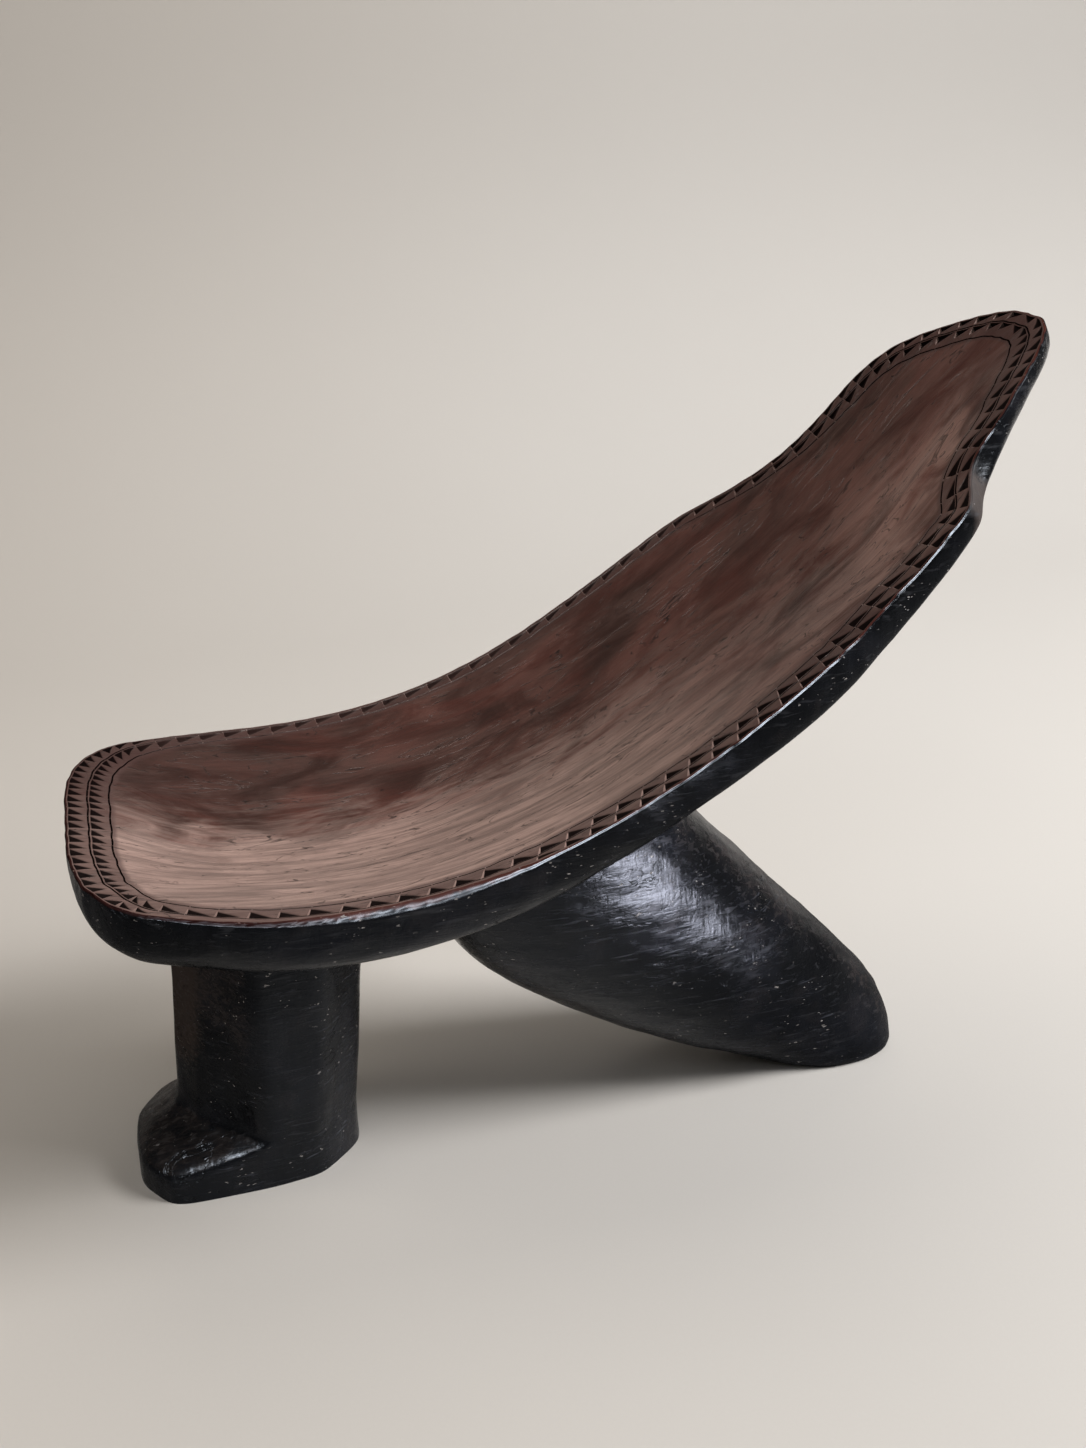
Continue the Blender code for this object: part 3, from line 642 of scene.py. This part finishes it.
    # Steep walls at the carved triangles' square corners, which the stain paints pale as a highlight
    corner_reach = reach[top_faces % count]
    square = (corner_reach < 0.05).any(1) & (corner_reach > 1.0).any(1)
    carved = (top_faces.max(1) < band_rows * count) & (sunk[top_faces].max(1) > 0.1)
    wall = np.concatenate([square & carved, np.zeros(len(side_faces), dtype=bool)])
    masks = {"top": np.concatenate(tops)[used], "pit": sunk[used],
             "band": np.concatenate(bands)[used], "wall": wall}
    finish = np.repeat([0, 1], [len(top_faces), len(side_faces)])
    return points[used], faces, masks, np.concatenate(flats)[used], finish


def rounded_ring(plan, softness):
    """Closed plan with many points on each side, its corners softened by averaging along the ring."""
    ahead = np.roll(plan, -1, axis=0)
    part = (np.arange(PLAN_POINTS) / PLAN_POINTS)[None, :, None]
    ring = (plan[:, None] * (1 - part) + ahead[:, None] * part).reshape(-1, plan.shape[1])
    for _ in range(softness):
        ring = 0.25 * np.roll(ring, 1, axis=0) + 0.5 * ring + 0.25 * np.roll(ring, -1, axis=0)
    return ring


def normals_of(points, faces):
    """Area-weighted vertex normals of a triangle mesh."""
    corner = points[faces]
    face = np.cross(corner[:, 1] - corner[:, 0], corner[:, 2] - corner[:, 0])
    normal = np.zeros_like(points)
    for k in range(3):
        np.add.at(normal, faces[:, k], face)
    return normal / np.maximum(np.linalg.norm(normal, axis=1), 1e-12)[:, None]


def close_tube(rings):
    """Points and outward triangles of stacked rings, closed by a middle point at both ends."""
    rows, count = rings.shape[:2]
    numbers = np.arange(rows * count).reshape(rows, count)
    points = np.concatenate([rings.reshape(-1, 3), rings[0].mean(0)[None], rings[-1].mean(0)[None]])
    wall = grid_faces(numbers, np.ones(count, dtype=bool))
    first = np.stack([np.roll(numbers[0], -1), numbers[0], np.full(count, rows * count)], axis=1)
    last = np.stack([numbers[-1], np.roll(numbers[-1], -1), np.full(count, rows * count + 1)], axis=1)
    faces = np.concatenate([wall, first, last])
    corner = points[faces]
    volume = np.einsum("ij,ij->i", corner[:, 0], np.cross(corner[:, 1], corner[:, 2])).sum()
    return points, faces if volume > 0 else faces[:, ::-1]


def between(stack, rows):
    """Rows between rings: each two rings are joined by straight lines, cut into the given counts."""
    parts = []
    for (low, high), steps in zip(zip(stack[:-1], stack[1:]), rows):
        part = (np.arange(steps) / steps)[:, None, None]
        parts.append(low[None] * (1 - part) + high[None] * part)
    return np.concatenate(parts + [stack[-1][None]])


def front_leg_surface(seat, size, seed):
    """Closed post and foot: plan rings joined by straight lines, softened, then dressed with tool marks."""
    line = RimLine(seat)
    offset = front_edge(size)
    right, left = np.array(POST_RIGHT), np.array(POST_LEFT)
    tuck = np.array([size.heel_tuck, 0.0])
    foot = np.array([(-size.foot_reach, -size.toe_half_width), (-size.toe_corner, -size.foot_half_width),
                     (right[2, 0], -size.foot_half_width), right[3] - tuck, right[4] - tuck])
    rake = np.array([size.post_rake, 0.0])
    tops = np.array([size.toe_height, size.toe_height] + [size.instep_height] * 3)
    _, head = line.inside(size.post_from_front)
    mirror = np.array([1.0, -1.0])

    def ring(near, far, heights, softness):
        plan = np.concatenate([near, far[::-1]])
        height = np.concatenate([heights, heights[::-1]])
        corners = np.column_stack([plan[:, 0] + size.post_from_front + offset, plan[:, 1], height])
        return rounded_ring(corners, softness)

    level = np.ones(len(right))
    far_foot = foot * mirror
    near_instep = np.concatenate([right[:2] - rake, foot[2:]])
    far_instep = np.concatenate([left[:2] - rake, far_foot[2:]])
    stack = [ring(foot, far_foot, 0.0 * level, 40), ring(foot, far_foot, tops, 60),
             ring(near_instep, far_instep, size.post_start * level, 24),
             ring(right, left, head[2] * level, 10)]
    rings = between(stack, POST_ROWS)
    sole = rings[0].copy()
    for _ in range(9):
        rings[1:-1] = 0.25 * rings[:-2] + 0.5 * rings[1:-1] + 0.25 * rings[2:]
    rings[0] = sole
    points, faces = close_tube(rings)
    normal = normals_of(points, faces)
    tool = marks(points, POST_MARKS, seed) + marks(points, FINE_POST_MARKS, seed + 1)
    grip = np.clip(points[:, 2] / 0.012, 0.0, 1.0)[:, None]
    points = points + normal * (tool[:, None] - 0.0006) * grip
    # Wear and painted light: the foot's upward faces and the post's front left facet turn brown where light
    # and reflections fall
    instep = ease(0.0, 0.45, (normal[:, 2] - 0.30) / 0.4) * (points[:, 2] < 0.10)
    front = ease(0.0, 1.0, (-normal[:, 0] - 0.58) / 0.34) * ease(0.0, 1.0, (points[:, 2] - 0.08) / 0.08)
    return points, faces, {"wear_and_painted_light": np.maximum(instep, front), "front": front}


def rear_leg_surface(seat, size, seed):
    """Closed raking leg: tilted superellipse sections along cubics through its stations, with tool marks."""
    line = RimLine(seat)
    offset = front_edge(size)
    along, head = line.inside(size.rear_from_front)
    tilt = np.interp(along, line.along, line.slope)
    first = (head[0], head[2], size.rear_half_depth, size.rear_half_width)
    stations = np.array((first,) + REAR_SECTIONS)
    tilts = np.array([tilt] + [size.rear_tilt] * len(REAR_SECTIONS))
    fine = np.linspace(0, len(stations) - 1, SECTION_STEPS * (len(stations) - 1) + 1)
    low = np.minimum(fine.astype(int), len(stations) - 2)
    sizes = cubic(stations, np.gradient(stations, axis=0), low, (fine - low)[:, None])
    turn = np.interp(fine, np.arange(len(tilts)), tilts)[:, None]
    round_angle = np.linspace(0.0, 2.0 * np.pi, SECTION_POINTS, endpoint=False)[None]
    power = 2.0 / size.rear_power
    deep = np.sign(np.cos(round_angle)) * np.abs(np.cos(round_angle)) ** power
    wide = np.sign(np.sin(round_angle)) * np.abs(np.sin(round_angle)) ** power
    reach = sizes[:, 2:3] * deep
    rings = np.stack([sizes[:, 0:1] + offset + reach * np.cos(turn), sizes[:, 3:4] * wide,
                      sizes[:, 1:2] + reach * np.sin(turn)], axis=-1)
    points, faces = close_tube(rings)
    normal = normals_of(points, faces)
    tool = marks(points, REAR_MARKS, seed) + marks(points, FINE_REAR_MARKS, seed + 1)
    foot = np.clip(1.0 - points[:, 2] / 0.008, 0.0, 1.0)
    points = points + normal * (tool - 0.0008 - 0.003 * foot ** 2)[:, None]
    # Wear and painted reflection: faces turned up and to the right, towards the key light, turn brown
    wear_and_painted_light = ease(0.0, 0.36, (0.75 * normal[:, 0] + 0.65 * normal[:, 2] - 0.40) / 0.45)
    return points, faces, {"wear_and_painted_light": wear_and_painted_light, "front": 0.0 * wear_and_painted_light}


def cut_flat(mesh):
    """Cut a closed mesh at the floor and close it with a flat sole."""
    shape = bmesh.new()
    shape.from_mesh(mesh)
    everything = shape.verts[:] + shape.edges[:] + shape.faces[:]
    cut = bmesh.ops.bisect_plane(shape, geom=everything, plane_co=(0, 0, 0), plane_no=(0, 0, 1),
                                 clear_inner=True)
    rim = [edge for edge in cut["geom_cut"] if isinstance(edge, bmesh.types.BMEdge)]
    bmesh.ops.contextual_create(shape, geom=rim)
    bmesh.ops.recalc_face_normals(shape, faces=shape.faces)
    shape.to_mesh(mesh)
    shape.free()


class Value:
    """A shader socket whose arithmetic adds Math nodes."""

    def __init__(self, tree, socket):
        self.tree = tree
        self.socket = socket

    def node(self, kind, inputs=None, **settings):
        """Any node: its settings first, then its sockets' values or links, by name or number."""
        made = self.tree.nodes.new(kind)
        for key, setting in settings.items():
            setattr(made, key, setting)
        for key, given in (inputs or {}).items():
            if isinstance(given, Value):
                self.tree.links.new(given.socket, made.inputs[key])
            else:
                made.inputs[key].default_value = given
        return made

    def wrap(self, made, output=0):
        return Value(self.tree, made.outputs[output])

    def maths(self, operation, other=None, first=None):
        inputs = {0: self if first is None else first}
        if other is not None:
            inputs[1] = other
        return self.wrap(self.node("ShaderNodeMath", inputs, operation=operation))

    def __add__(self, other):
        return self.maths("ADD", other)

    __radd__ = __add__

    def __sub__(self, other):
        return self.maths("SUBTRACT", other)

    def __rsub__(self, other):
        return self.maths("SUBTRACT", self, first=other)

    def __mul__(self, other):
        return self.maths("MULTIPLY", other)

    __rmul__ = __mul__

    def __pow__(self, other):
        return self.maths("POWER", other)

    def most(self, other):
        return self.maths("MAXIMUM", other)

    def step(self, low, high):
        """Smooth passage from 0 at low to 1 at high."""
        made = self.node("ShaderNodeMapRange", {0: self, 1: low, 2: high, 3: 0.0, 4: 1.0},
                         interpolation_type="SMOOTHSTEP")
        return self.wrap(made)

    def lines(self, width):
        """Thin lines where this value, a noise, crosses its middle."""
        return 1 - (self - 0.5).maths("ABSOLUTE").step(0.0, width)

    def shade(self, amount):
        """This colour times a value."""
        made = self.node("ShaderNodeVectorMath", {0: self, "Scale": amount}, operation="SCALE")
        return self.wrap(made)

    def mix(self, under, over):
        """Colour that passes from under to over as this value goes from 0 to 1."""
        made = self.node("ShaderNodeMix", {0: self, 6: under, 7: over}, data_type="RGBA")
        return self.wrap(made, 2)


def rgba(tint):
    """Linear colour with full alpha for a colour socket."""
    return (tint[0], tint[1], tint[2], 1.0)


class Finish:
    """A Principled material under construction, with the patterns that the chair's finishes share."""

    def __init__(self, name):
        self.material = bpy.data.materials.new(name)
        self.material.use_nodes = True
        self.tree = self.material.node_tree
        self.shader = self.tree.nodes["Principled BSDF"]
        self.any = Value(self.tree, None)
        self.object = self.any.wrap(self.any.node("ShaderNodeTexCoord"), 3)

    def attribute(self, name):
        return self.any.wrap(self.any.node("ShaderNodeAttribute", attribute_name=name), 2)

    def flat(self):
        return self.any.wrap(self.any.node("ShaderNodeUVMap", uv_map="flat"))

    def parts(self, vector):
        made = self.any.node("ShaderNodeSeparateXYZ", {0: vector})
        return [self.any.wrap(made, k) for k in range(3)]

    def noise(self, vector, scale, detail=4.0, rough=0.55, warp=0.0):
        made = self.any.node("ShaderNodeTexNoise", {"Vector": vector, "Scale": scale, "Detail": detail,
                                                    "Roughness": rough, "Distortion": warp})
        return self.any.wrap(made, 0)

    def grain(self, vector, by, detail=4.0, rough=0.55, warp=0.0):
        """Noise drawn out by a scale of its own along each way."""
        scaled = self.any.wrap(self.any.node("ShaderNodeMapping", {"Vector": vector, "Scale": by}))
        return self.noise(scaled, 1.0, detail, rough, warp)

    def cells(self, vector, scale):
        return self.any.wrap(self.any.node("ShaderNodeTexVoronoi", {"Vector": vector, "Scale": scale}))

    def bump(self, height, strength, distance):
        inputs = {"Height": height, "Strength": strength, "Distance": distance}
        return self.any.wrap(self.any.node("ShaderNodeBump", inputs))

    def cover(self, amount, tint):
        """Lay a dull second coat of one colour over the first by an amount."""
        dull = self.any.wrap(self.any.node("ShaderNodeBsdfDiffuse", {"Color": tint}))
        first = self.any.wrap(self.shader)
        both = self.any.node("ShaderNodeMixShader", {0: amount, 1: first, 2: dull})
        self.tree.links.new(both.outputs[0], self.tree.nodes["Material Output"].inputs["Surface"])

    def set(self, socket, value):
        if isinstance(value, Value):
            self.tree.links.new(value.socket, self.shader.inputs[socket])
        else:
            self.shader.inputs[socket].default_value = value


def black_lacquer(name, tones, rimmed=False):
    """Worn black lacquer: bluish haze, partly painted sheen, brown where rubbed, grey in fine scratches,
    cracked, with pale dings.

    Over a rim it passes to red-brown chips, is bruised to a dull red near the front and is paler brown in
    the scoop of the neck. On a leg the rubbed places come from the mesh, together with painted light on the
    lit faces; bluish scuff marks, partly painted sheen, run level, and the post's front also has worm holes.
    """
    finish = Finish(name)
    place = finish.object
    broad = finish.noise(place, 9.0, 4.0, 0.6)
    lumps = finish.noise(place, 34.0, 6.0, 0.62, 0.6)
    fine = finish.noise(place, 110.0, 5.0, 0.65)
    scratch = finish.grain(place, (20.0, 150.0, 190.0), 4.0, 0.6, 0.6)
    crossing = finish.grain(place, (210.0, 60.0, 28.0), 4.0, 0.6, 0.8)
    crack = finish.noise(place, 13.0, 4.0, 0.6, 1.2).lines(0.008)
    crack = crack * finish.noise(place, 11.0, 2.0, 0.5).step(0.52, 0.60)
    cluster = finish.noise(place, 16.0, 3.0, 0.6).step(0.46, 0.60)
    dings = finish.grain(place, (120.0, 300.0, 280.0), 2.0, 0.5).step(0.69, 0.72) * cluster
    rubbed = (broad * 0.5 + lumps * 0.5).step(0.50, 0.68)
    tint = (rubbed * 0.10).mix(rgba(tones.lacquer), rgba(tones.worn_wood_and_painted_light))
    # Bluish haze in broad patches: lacquer bloom and painted sheen
    tint = (broad.step(0.42, 0.66) * 0.35).mix(tint, HAZE_AND_PAINTED_SHEEN)
    if rimmed:
        rim = finish.attribute("top")
        chips = (rim * 1.3 + (lumps - 0.5) * 2.2 - 0.45).step(0.0, 0.5) * rim.step(0.0, 0.3)
        tint = (chips * 0.8).mix(tint, rgba(tones.red_brown))
        speckle = finish.noise(place, 300.0, 2.0, 0.5).step(0.60, 0.72) * rim.step(0.05, 0.6) * cluster
        tint = (speckle * 0.6).mix(tint, rgba(tones.pale_wear_and_painted_sheen))
        along, across, _ = finish.parts(finish.flat())
        ragged = (lumps - 0.5) * 0.06
        stretch = along + ragged
        scoop = stretch.step(0.925, 0.945) * (1 - stretch.step(0.970, 0.990))
        scoop = scoop * (ragged - across).step(0.115, 0.140)
        tint = (scoop * (0.35 + 0.5 * lumps)).mix(tint, rgba(tones.worn_wood_and_painted_light))
        bruised = rim.step(0.0, 0.2) * (1 - along.step(0.16, 0.25)) * (1 - speckle)
    else:
        # On a leg the mesh's mask of wear and painted light turns the lacquer brown and dull
        wear_and_painted_light = finish.attribute("wear_and_painted_light")
        uneven = (scratch - 0.5) + (broad - 0.5) * 0.9 + (fine - 0.5) * 0.15
        bare_and_painted_light = (wear_and_painted_light + uneven).step(0.25, 0.95)
        tint = (bare_and_painted_light * 0.45).mix(tint, rgba(tones.worn_wood_and_painted_light))
        # Bluish scuff marks that run level, partly painted sheen
        scuffs_and_painted_sheen = finish.grain(place, (34.0, 34.0, 260.0), 4.0, 0.62, 0.5).step(0.58, 0.70)
        tint = (scuffs_and_painted_sheen * cluster * 0.6).mix(tint, SCUFF_AND_PAINTED_SHEEN)
        holes = 1 - finish.cells(place, 120.0).step(0.20, 0.34)
        holes = holes * finish.noise(place, 30.0).step(0.50, 0.60) * finish.attribute("front").step(0.2, 0.5)
        tint = holes.mix(tint, WORM_HOLE)
        crack = crack.most(holes)
    tint = (scratch.step(0.58, 0.72) * 0.22).mix(tint, SCRATCH)
    tint = (dings * 0.8).mix(tint, DING)
    tint = crack.mix(tint, CRACK)
    finish.set("Base Color", tint)
    rough = 0.10 + 0.14 * broad + 0.14 * lumps + 0.16 * scratch.step(0.5, 0.7)
    relief = lumps * 0.9 + fine * 0.16 + scratch * 0.42 + crossing * 0.36 - dings * 0.4 - crack * 0.5
    if rimmed:
        relief = relief * (1 - 0.85 * rim.step(0.0, 0.35))
        rough = rough + rim.step(0.0, 0.3) * (0.10 - 0.20 * along.step(0.34, 0.42)) + scoop * 0.4
        finish.cover(bruised * 0.85, BRUISE)
    else:
        finish.cover(bare_and_painted_light * 0.6, RUBBED_LEG_AND_PAINTED_LIGHT)
    finish.set("Roughness", rough)
    finish.set("Normal", finish.bump(relief, 0.5, 0.0022))
    finish.set("Specular IOR Level", 0.28)
    finish.set("Specular Tint", (0.80, 0.88, 1.0, 1.0))
    return finish.material


def seat_stain(tones):
    """Red-brown stained top.

    The stain is clouded, greyer towards the back and paler at the neck. A pale sweep broken by streaks lies
    at the front, partly rubbed wear and partly painted sheen, and creases, nicks and the shade in the
    carving darken it.
    """
    finish = Finish("seat_stain")
    flat = finish.flat()
    along, across, _ = finish.parts(flat)
    pit = finish.attribute("pit")
    band = finish.attribute("band")
    wall = finish.attribute("wall")
    cloud = finish.grain(flat, (5.0, 10.0, 1.0), 6.0, 0.62, 1.2)
    patch = finish.grain(flat, (9.0, 21.0, 1.0), 6.0, 0.60, 0.9)
    streak = finish.grain(flat, (6.0, 90.0, 1.0), 9.0, 0.76, 0.25)
    hair = finish.grain(flat, (22.0, 520.0, 1.0), 4.0, 0.7, 0.3)
    crease = finish.grain(flat, (7.0, 36.0, 1.0), 3.0, 0.5, 1.8).lines(0.016) * patch.step(0.44, 0.54)
    nick = finish.grain(flat, (22.0, 60.0, 1.0), 2.0, 0.5, 1.0).lines(0.020)
    nick = nick * finish.grain(flat, (26.0, 34.0, 1.0)).step(0.59, 0.64)
    tint = cloud.step(0.36, 0.62).mix(rgba(tones.dark_brown), rgba(tones.red_brown))
    back = along.step(0.50, 0.85)
    near = (0.10 - across).step(0.0, 0.25)
    tint = (patch.step(0.32, 0.60) * (0.20 + 0.72 * back * near)).mix(tint, rgba(tones.grey_brown))
    # Pale sweep at the front: rubbed wear and painted sheen together
    sweep = (0.052 - 0.05 * along - 0.07 * along ** 2 - across) * 14.0
    front = 1 - along.step(0.50, 0.76)
    rub_and_painted_sheen = (sweep + (patch - 0.5) * 3.0 + (streak - 0.5) * 3.6).step(-0.6, 1.0) * front
    tint = (rub_and_painted_sheen * 0.88).mix(tint, rgba(tones.pale_wear_and_painted_sheen))
    # Streaks lighten and darken the stain, most of all in the sweep, where they are partly painted sheen
    lined = 0.12 + 0.36 * rub_and_painted_sheen
    tint = tint.shade(1 - 0.5 * lined + lined * streak.step(0.58, 0.42))
    tint = tint.shade(0.92 + 0.16 * hair.step(0.60, 0.40))
    tint = tint.shade(0.88 + 0.28 * patch.step(0.36, 0.66))
    neck = along.step(0.80, 0.92) * (1 - along.step(0.99, 1.07)) * (0.05 - across).step(0.0, 0.09)
    tint = tint.shade(1 + 0.6 * neck)
    # Painted shade: darker on the far side of the front of the dish
    tint = tint.shade(1 - 0.40 * across.step(0.02, 0.11) * (1 - along.step(0.18, 0.36)))
    tint = (band * 0.68).mix(tint, rgba(tones.land))
    tint = (crease * 0.7).most(nick * 0.9).mix(tint, CREASE)
    # Painted highlight: the steep walls of the carved triangles are lit pale
    tint = (wall * 0.6).mix(tint, rgba(tones.pale_wear_and_painted_sheen))
    finish.set("Base Color", tint)
    finish.set("Roughness", 0.28 + 0.12 * cloud + 0.16 * hair)
    relief = hair * 0.05 - streak * 0.35 + patch * 0.9 - crease * 0.25 - nick * 0.2
    finish.set("Normal", finish.bump(relief, 0.55, 0.0026))
    finish.set("Specular IOR Level", 0.30)
    finish.set("Specular Tint", (1.0, 0.88, 0.82, 1.0))
    # The dark shade in the carving is weaker on the far side of the front
    faint_far = across.step(0.12, 0.20) * along.step(0.05, 0.12)
    finish.cover(pit.step(0.0, 0.10) * (1 - wall) * (0.96 - 0.40 * faint_far), CUT_SHADE)
    return finish.material


def hardwood_finish(tones):
    """Bare dowel wood with its grain drawn out along its length."""
    finish = Finish("dowel_hardwood")
    grain = finish.grain(finish.object, (60.0, 60.0, 9.0), 4.0, 0.6, 0.6)
    dark = [0.6 * channel for channel in tones.hardwood]
    finish.set("Base Color", grain.step(0.3, 0.7).mix(rgba(dark), rgba(tones.hardwood)))
    finish.set("Roughness", 0.5 + 0.2 * grain)
    return finish.material


class CHAIR_OT_seat(Operator):
    """Build the dished slab with its carved border"""
    bl_idname = "chair.seat"
    bl_label = "Seat slab"

    def execute(self, context):
        scene = context.scene
        tones = scene.chair_finishes
        seed = scene.chair_stage.seed
        points, faces, masks, flat, finish = seat_surface(scene.chair_seat, scene.chair_legs, seed)
        mesh = mesh_from("carved_seat", points, faces, SEAT_CREASE, masks, flat)
        finishes = (seat_stain(tones), black_lacquer("edge_lacquer", tones, True))
        add_piece("carved_seat", mesh, finishes, "seat")
        mesh.polygons.foreach_set("material_index", finish.astype(np.int32))
        return {"FINISHED"}


class CHAIR_OT_front_leg(Operator):
    """Build the faceted post and its foot"""
    bl_idname = "chair.front_leg"
    bl_label = "Front leg"

    def execute(self, context):
        scene = context.scene
        seed = scene.chair_stage.seed + 20
        points, faces, masks = front_leg_surface(scene.chair_seat, scene.chair_legs, seed)
        mesh = mesh_from("footed_post", points, faces, LEG_CREASE, masks)
        lacquer = black_lacquer("post_lacquer", scene.chair_finishes)
        add_piece("footed_post", mesh, (lacquer,), "front_leg")
        return {"FINISHED"}


class CHAIR_OT_rear_leg(Operator):
    """Build the raking rear leg"""
    bl_idname = "chair.rear_leg"
    bl_label = "Rear leg"

    def execute(self, context):
        scene = context.scene
        seed = scene.chair_stage.seed + 30
        points, faces, masks = rear_leg_surface(scene.chair_seat, scene.chair_legs, seed)
        mesh = mesh_from("raking_leg", points, faces, LEG_CREASE, masks)
        cut_flat(mesh)
        mesh.set_sharp_from_angle(angle=math.radians(LEG_CREASE))
        lacquer = black_lacquer("rear_leg_lacquer", scene.chair_finishes)
        add_piece("raking_leg", mesh, (lacquer,), "rear_leg")
        return {"FINISHED"}


class CHAIR_OT_dowels(Operator):
    """Give the hidden dowels their bare hardwood"""
    bl_idname = "chair.dowels"
    bl_label = "Dowels"

    def execute(self, context):
        wood = hardwood_finish(context.scene.chair_finishes)
        for name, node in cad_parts.items():
            if "dowel" in name:
                for place in node.material_slots:
                    place.material = wood
        return {"FINISHED"}


class CHAIR_OT_stage(Operator):
    """Set up the seamless floor, the soft lights and the camera"""
    bl_idname = "chair.stage"
    bl_label = "Studio"

    def execute(self, context):
        scene = context.scene
        stage = scene.chair_stage
        scene.view_settings.view_transform = "Standard"
        self.add_floor(scene, stage)
        self.add_light(scene, "key_light", stage.key_power)
        top = self.add_light(scene, "top_light", stage.top_power)
        self.add_light(scene, "wall_light", stage.wall_power)
        fill = self.add_light(scene, "fill_light", stage.fill_power)
        for soft in (top, fill):
            soft.data.color = WARM_LIGHT
            soft.visible_glossy = False
        panel = self.add_light(scene, "leg_panel", stage.panel_power)
        panel.data.color = COOL_LIGHT
        panel.data.spread = math.radians(PANEL_SPREAD)
        rim = self.add_light(scene, "rim_light", stage.rim_power)
        for sheen in (panel, rim):
            sheen.visible_diffuse = False
        world = bpy.data.worlds.new("studio")
        world.use_nodes = True
        sky = world.node_tree.nodes["Background"]
        sky.inputs["Color"].default_value = SKY_TINT
        sky.inputs["Strength"].default_value = stage.sky
        scene.world = world
        camera = bpy.data.cameras.new("camera")
        camera.sensor_width = 36.0
        camera.lens = camera.sensor_width * FOCAL_LENGTH / PICTURE_HEIGHT
        holder = bpy.data.objects.new("camera", camera)
        holder.location = CAMERA_PLACE
        holder.rotation_euler = [math.radians(turn) for turn in CAMERA_TURN]
        scene.collection.objects.link(holder)
        scene.camera = holder
        return {"FINISHED"}

    def add_floor(self, scene, stage):
        """Sweep a line that runs level and turns up along a quarter circle, with shade painted on its left
        and upper parts; most of it is painted dark in gloss.
        """
        turn = np.linspace(0.0, 0.5 * np.pi, 24)
        bend = 2.0
        back = np.concatenate(([-3.5], 1.5 + bend * np.sin(turn)))
        up = np.concatenate(([0.0], bend * (1.0 - np.cos(turn))))
        across = np.array([-5.0, 5.0])
        points = np.column_stack([np.tile(across, len(back)), np.repeat(back, 2), np.repeat(up, 2)])
        row = 2 * np.arange(len(back) - 1)
        faces = np.stack([row, row + 1, row + 3, row + 2], axis=1)
        mesh = mesh_from("backdrop", points, faces, 80.0)
        finish = Finish("studio_paper")
        fleck = finish.noise(finish.object, 260.0, 3.0, 0.6)
        cloud = finish.noise(finish.object, 1.3, 2.0, 0.5)
        aside, away, above = finish.parts(finish.object)
        in_gloss = finish.any.wrap(finish.any.node("ShaderNodeLightPath"), "Is Glossy Ray")
        # Painted shade: the paper darkens towards the left and higher up
        tint = (aside - 0.5 * above).step(-1.7, 1.1).mix(rgba(stage.floor_painted_shade_left), rgba(stage.floor))
        tint = ((fleck * 0.5 + cloud * 0.5).step(0.3, 0.7) * 0.05).mix(tint, PAPER_FLECK)
        tint = (above.step(0.0, 1.2) * 0.42).mix(tint, PAPER_PAINTED_SHADE_HIGH)
        # Painted shade in reflections: in gloss the paper is dark, except a patch at the left front and the
        # far backdrop
        bright = aside.step(-0.75, -0.15) * (1 - aside.step(0.0, 0.3)) * away.step(-0.85, -0.25)
        dim = (1 - bright) * (1 - away.step(0.4, 1.2))
        tint = (in_gloss * dim * 0.9).mix(tint, PAPER_IN_GLOSS)
        finish.set("Base Color", tint)
        finish.set("Roughness", 0.85)
        mesh.materials.append(finish.material)
        floor = bpy.data.objects.new("backdrop", mesh)
        scene.collection.objects.link(floor)

    def add_light(self, scene, name, power):
        """Square soft light that looks at its target."""
        place, target, width = LIGHTS[name]
        light = bpy.data.lights.new(name, "AREA")
        light.size = width
        light.energy = power
        holder = bpy.data.objects.new(name, light)
        holder.location = place
        holder.rotation_euler = (Vector(target) - Vector(place)).to_track_quat("-Z", "Y").to_euler()
        holder.visible_camera = False
        scene.collection.objects.link(holder)
        return holder


class CHAIR_PT_panel(Panel):
    """Sidebar list of the chair's parts"""
    bl_idname = "CHAIR_PT_panel"
    bl_label = "Carved reclining chair"
    bl_space_type = "VIEW_3D"
    bl_region_type = "UI"
    bl_category = "Chair"

    def draw(self, context):
        for operator in OPERATORS:
            self.layout.operator(operator.bl_idname)


GROUPS = {"chair_seat": ChairSeatSizes, "chair_legs": ChairLegSizes, "chair_finishes": ChairFinishes,
          "chair_stage": ChairStage}
OPERATORS = (CHAIR_OT_seat, CHAIR_OT_front_leg, CHAIR_OT_rear_leg, CHAIR_OT_dowels, CHAIR_OT_stage)


def register():
    for group in GROUPS.values():
        bpy.utils.register_class(group)
    for part in OPERATORS + (CHAIR_PT_panel,):
        bpy.utils.register_class(part)
    for name, group in GROUPS.items():
        setattr(bpy.types.Scene, name, PointerProperty(type=group))


def unregister():
    for name in GROUPS:
        delattr(bpy.types.Scene, name)
    for part in (CHAIR_PT_panel,) + OPERATORS[::-1]:
        bpy.utils.unregister_class(part)
    for group in reversed(list(GROUPS.values())):
        bpy.utils.unregister_class(group)


def main():
    """Register and build every part in order."""
    register()
    bpy.ops.chair.seat()
    bpy.ops.chair.front_leg()
    bpy.ops.chair.rear_leg()
    bpy.ops.chair.dowels()
    bpy.ops.chair.stage()


if __name__ == "__main__":
    main()
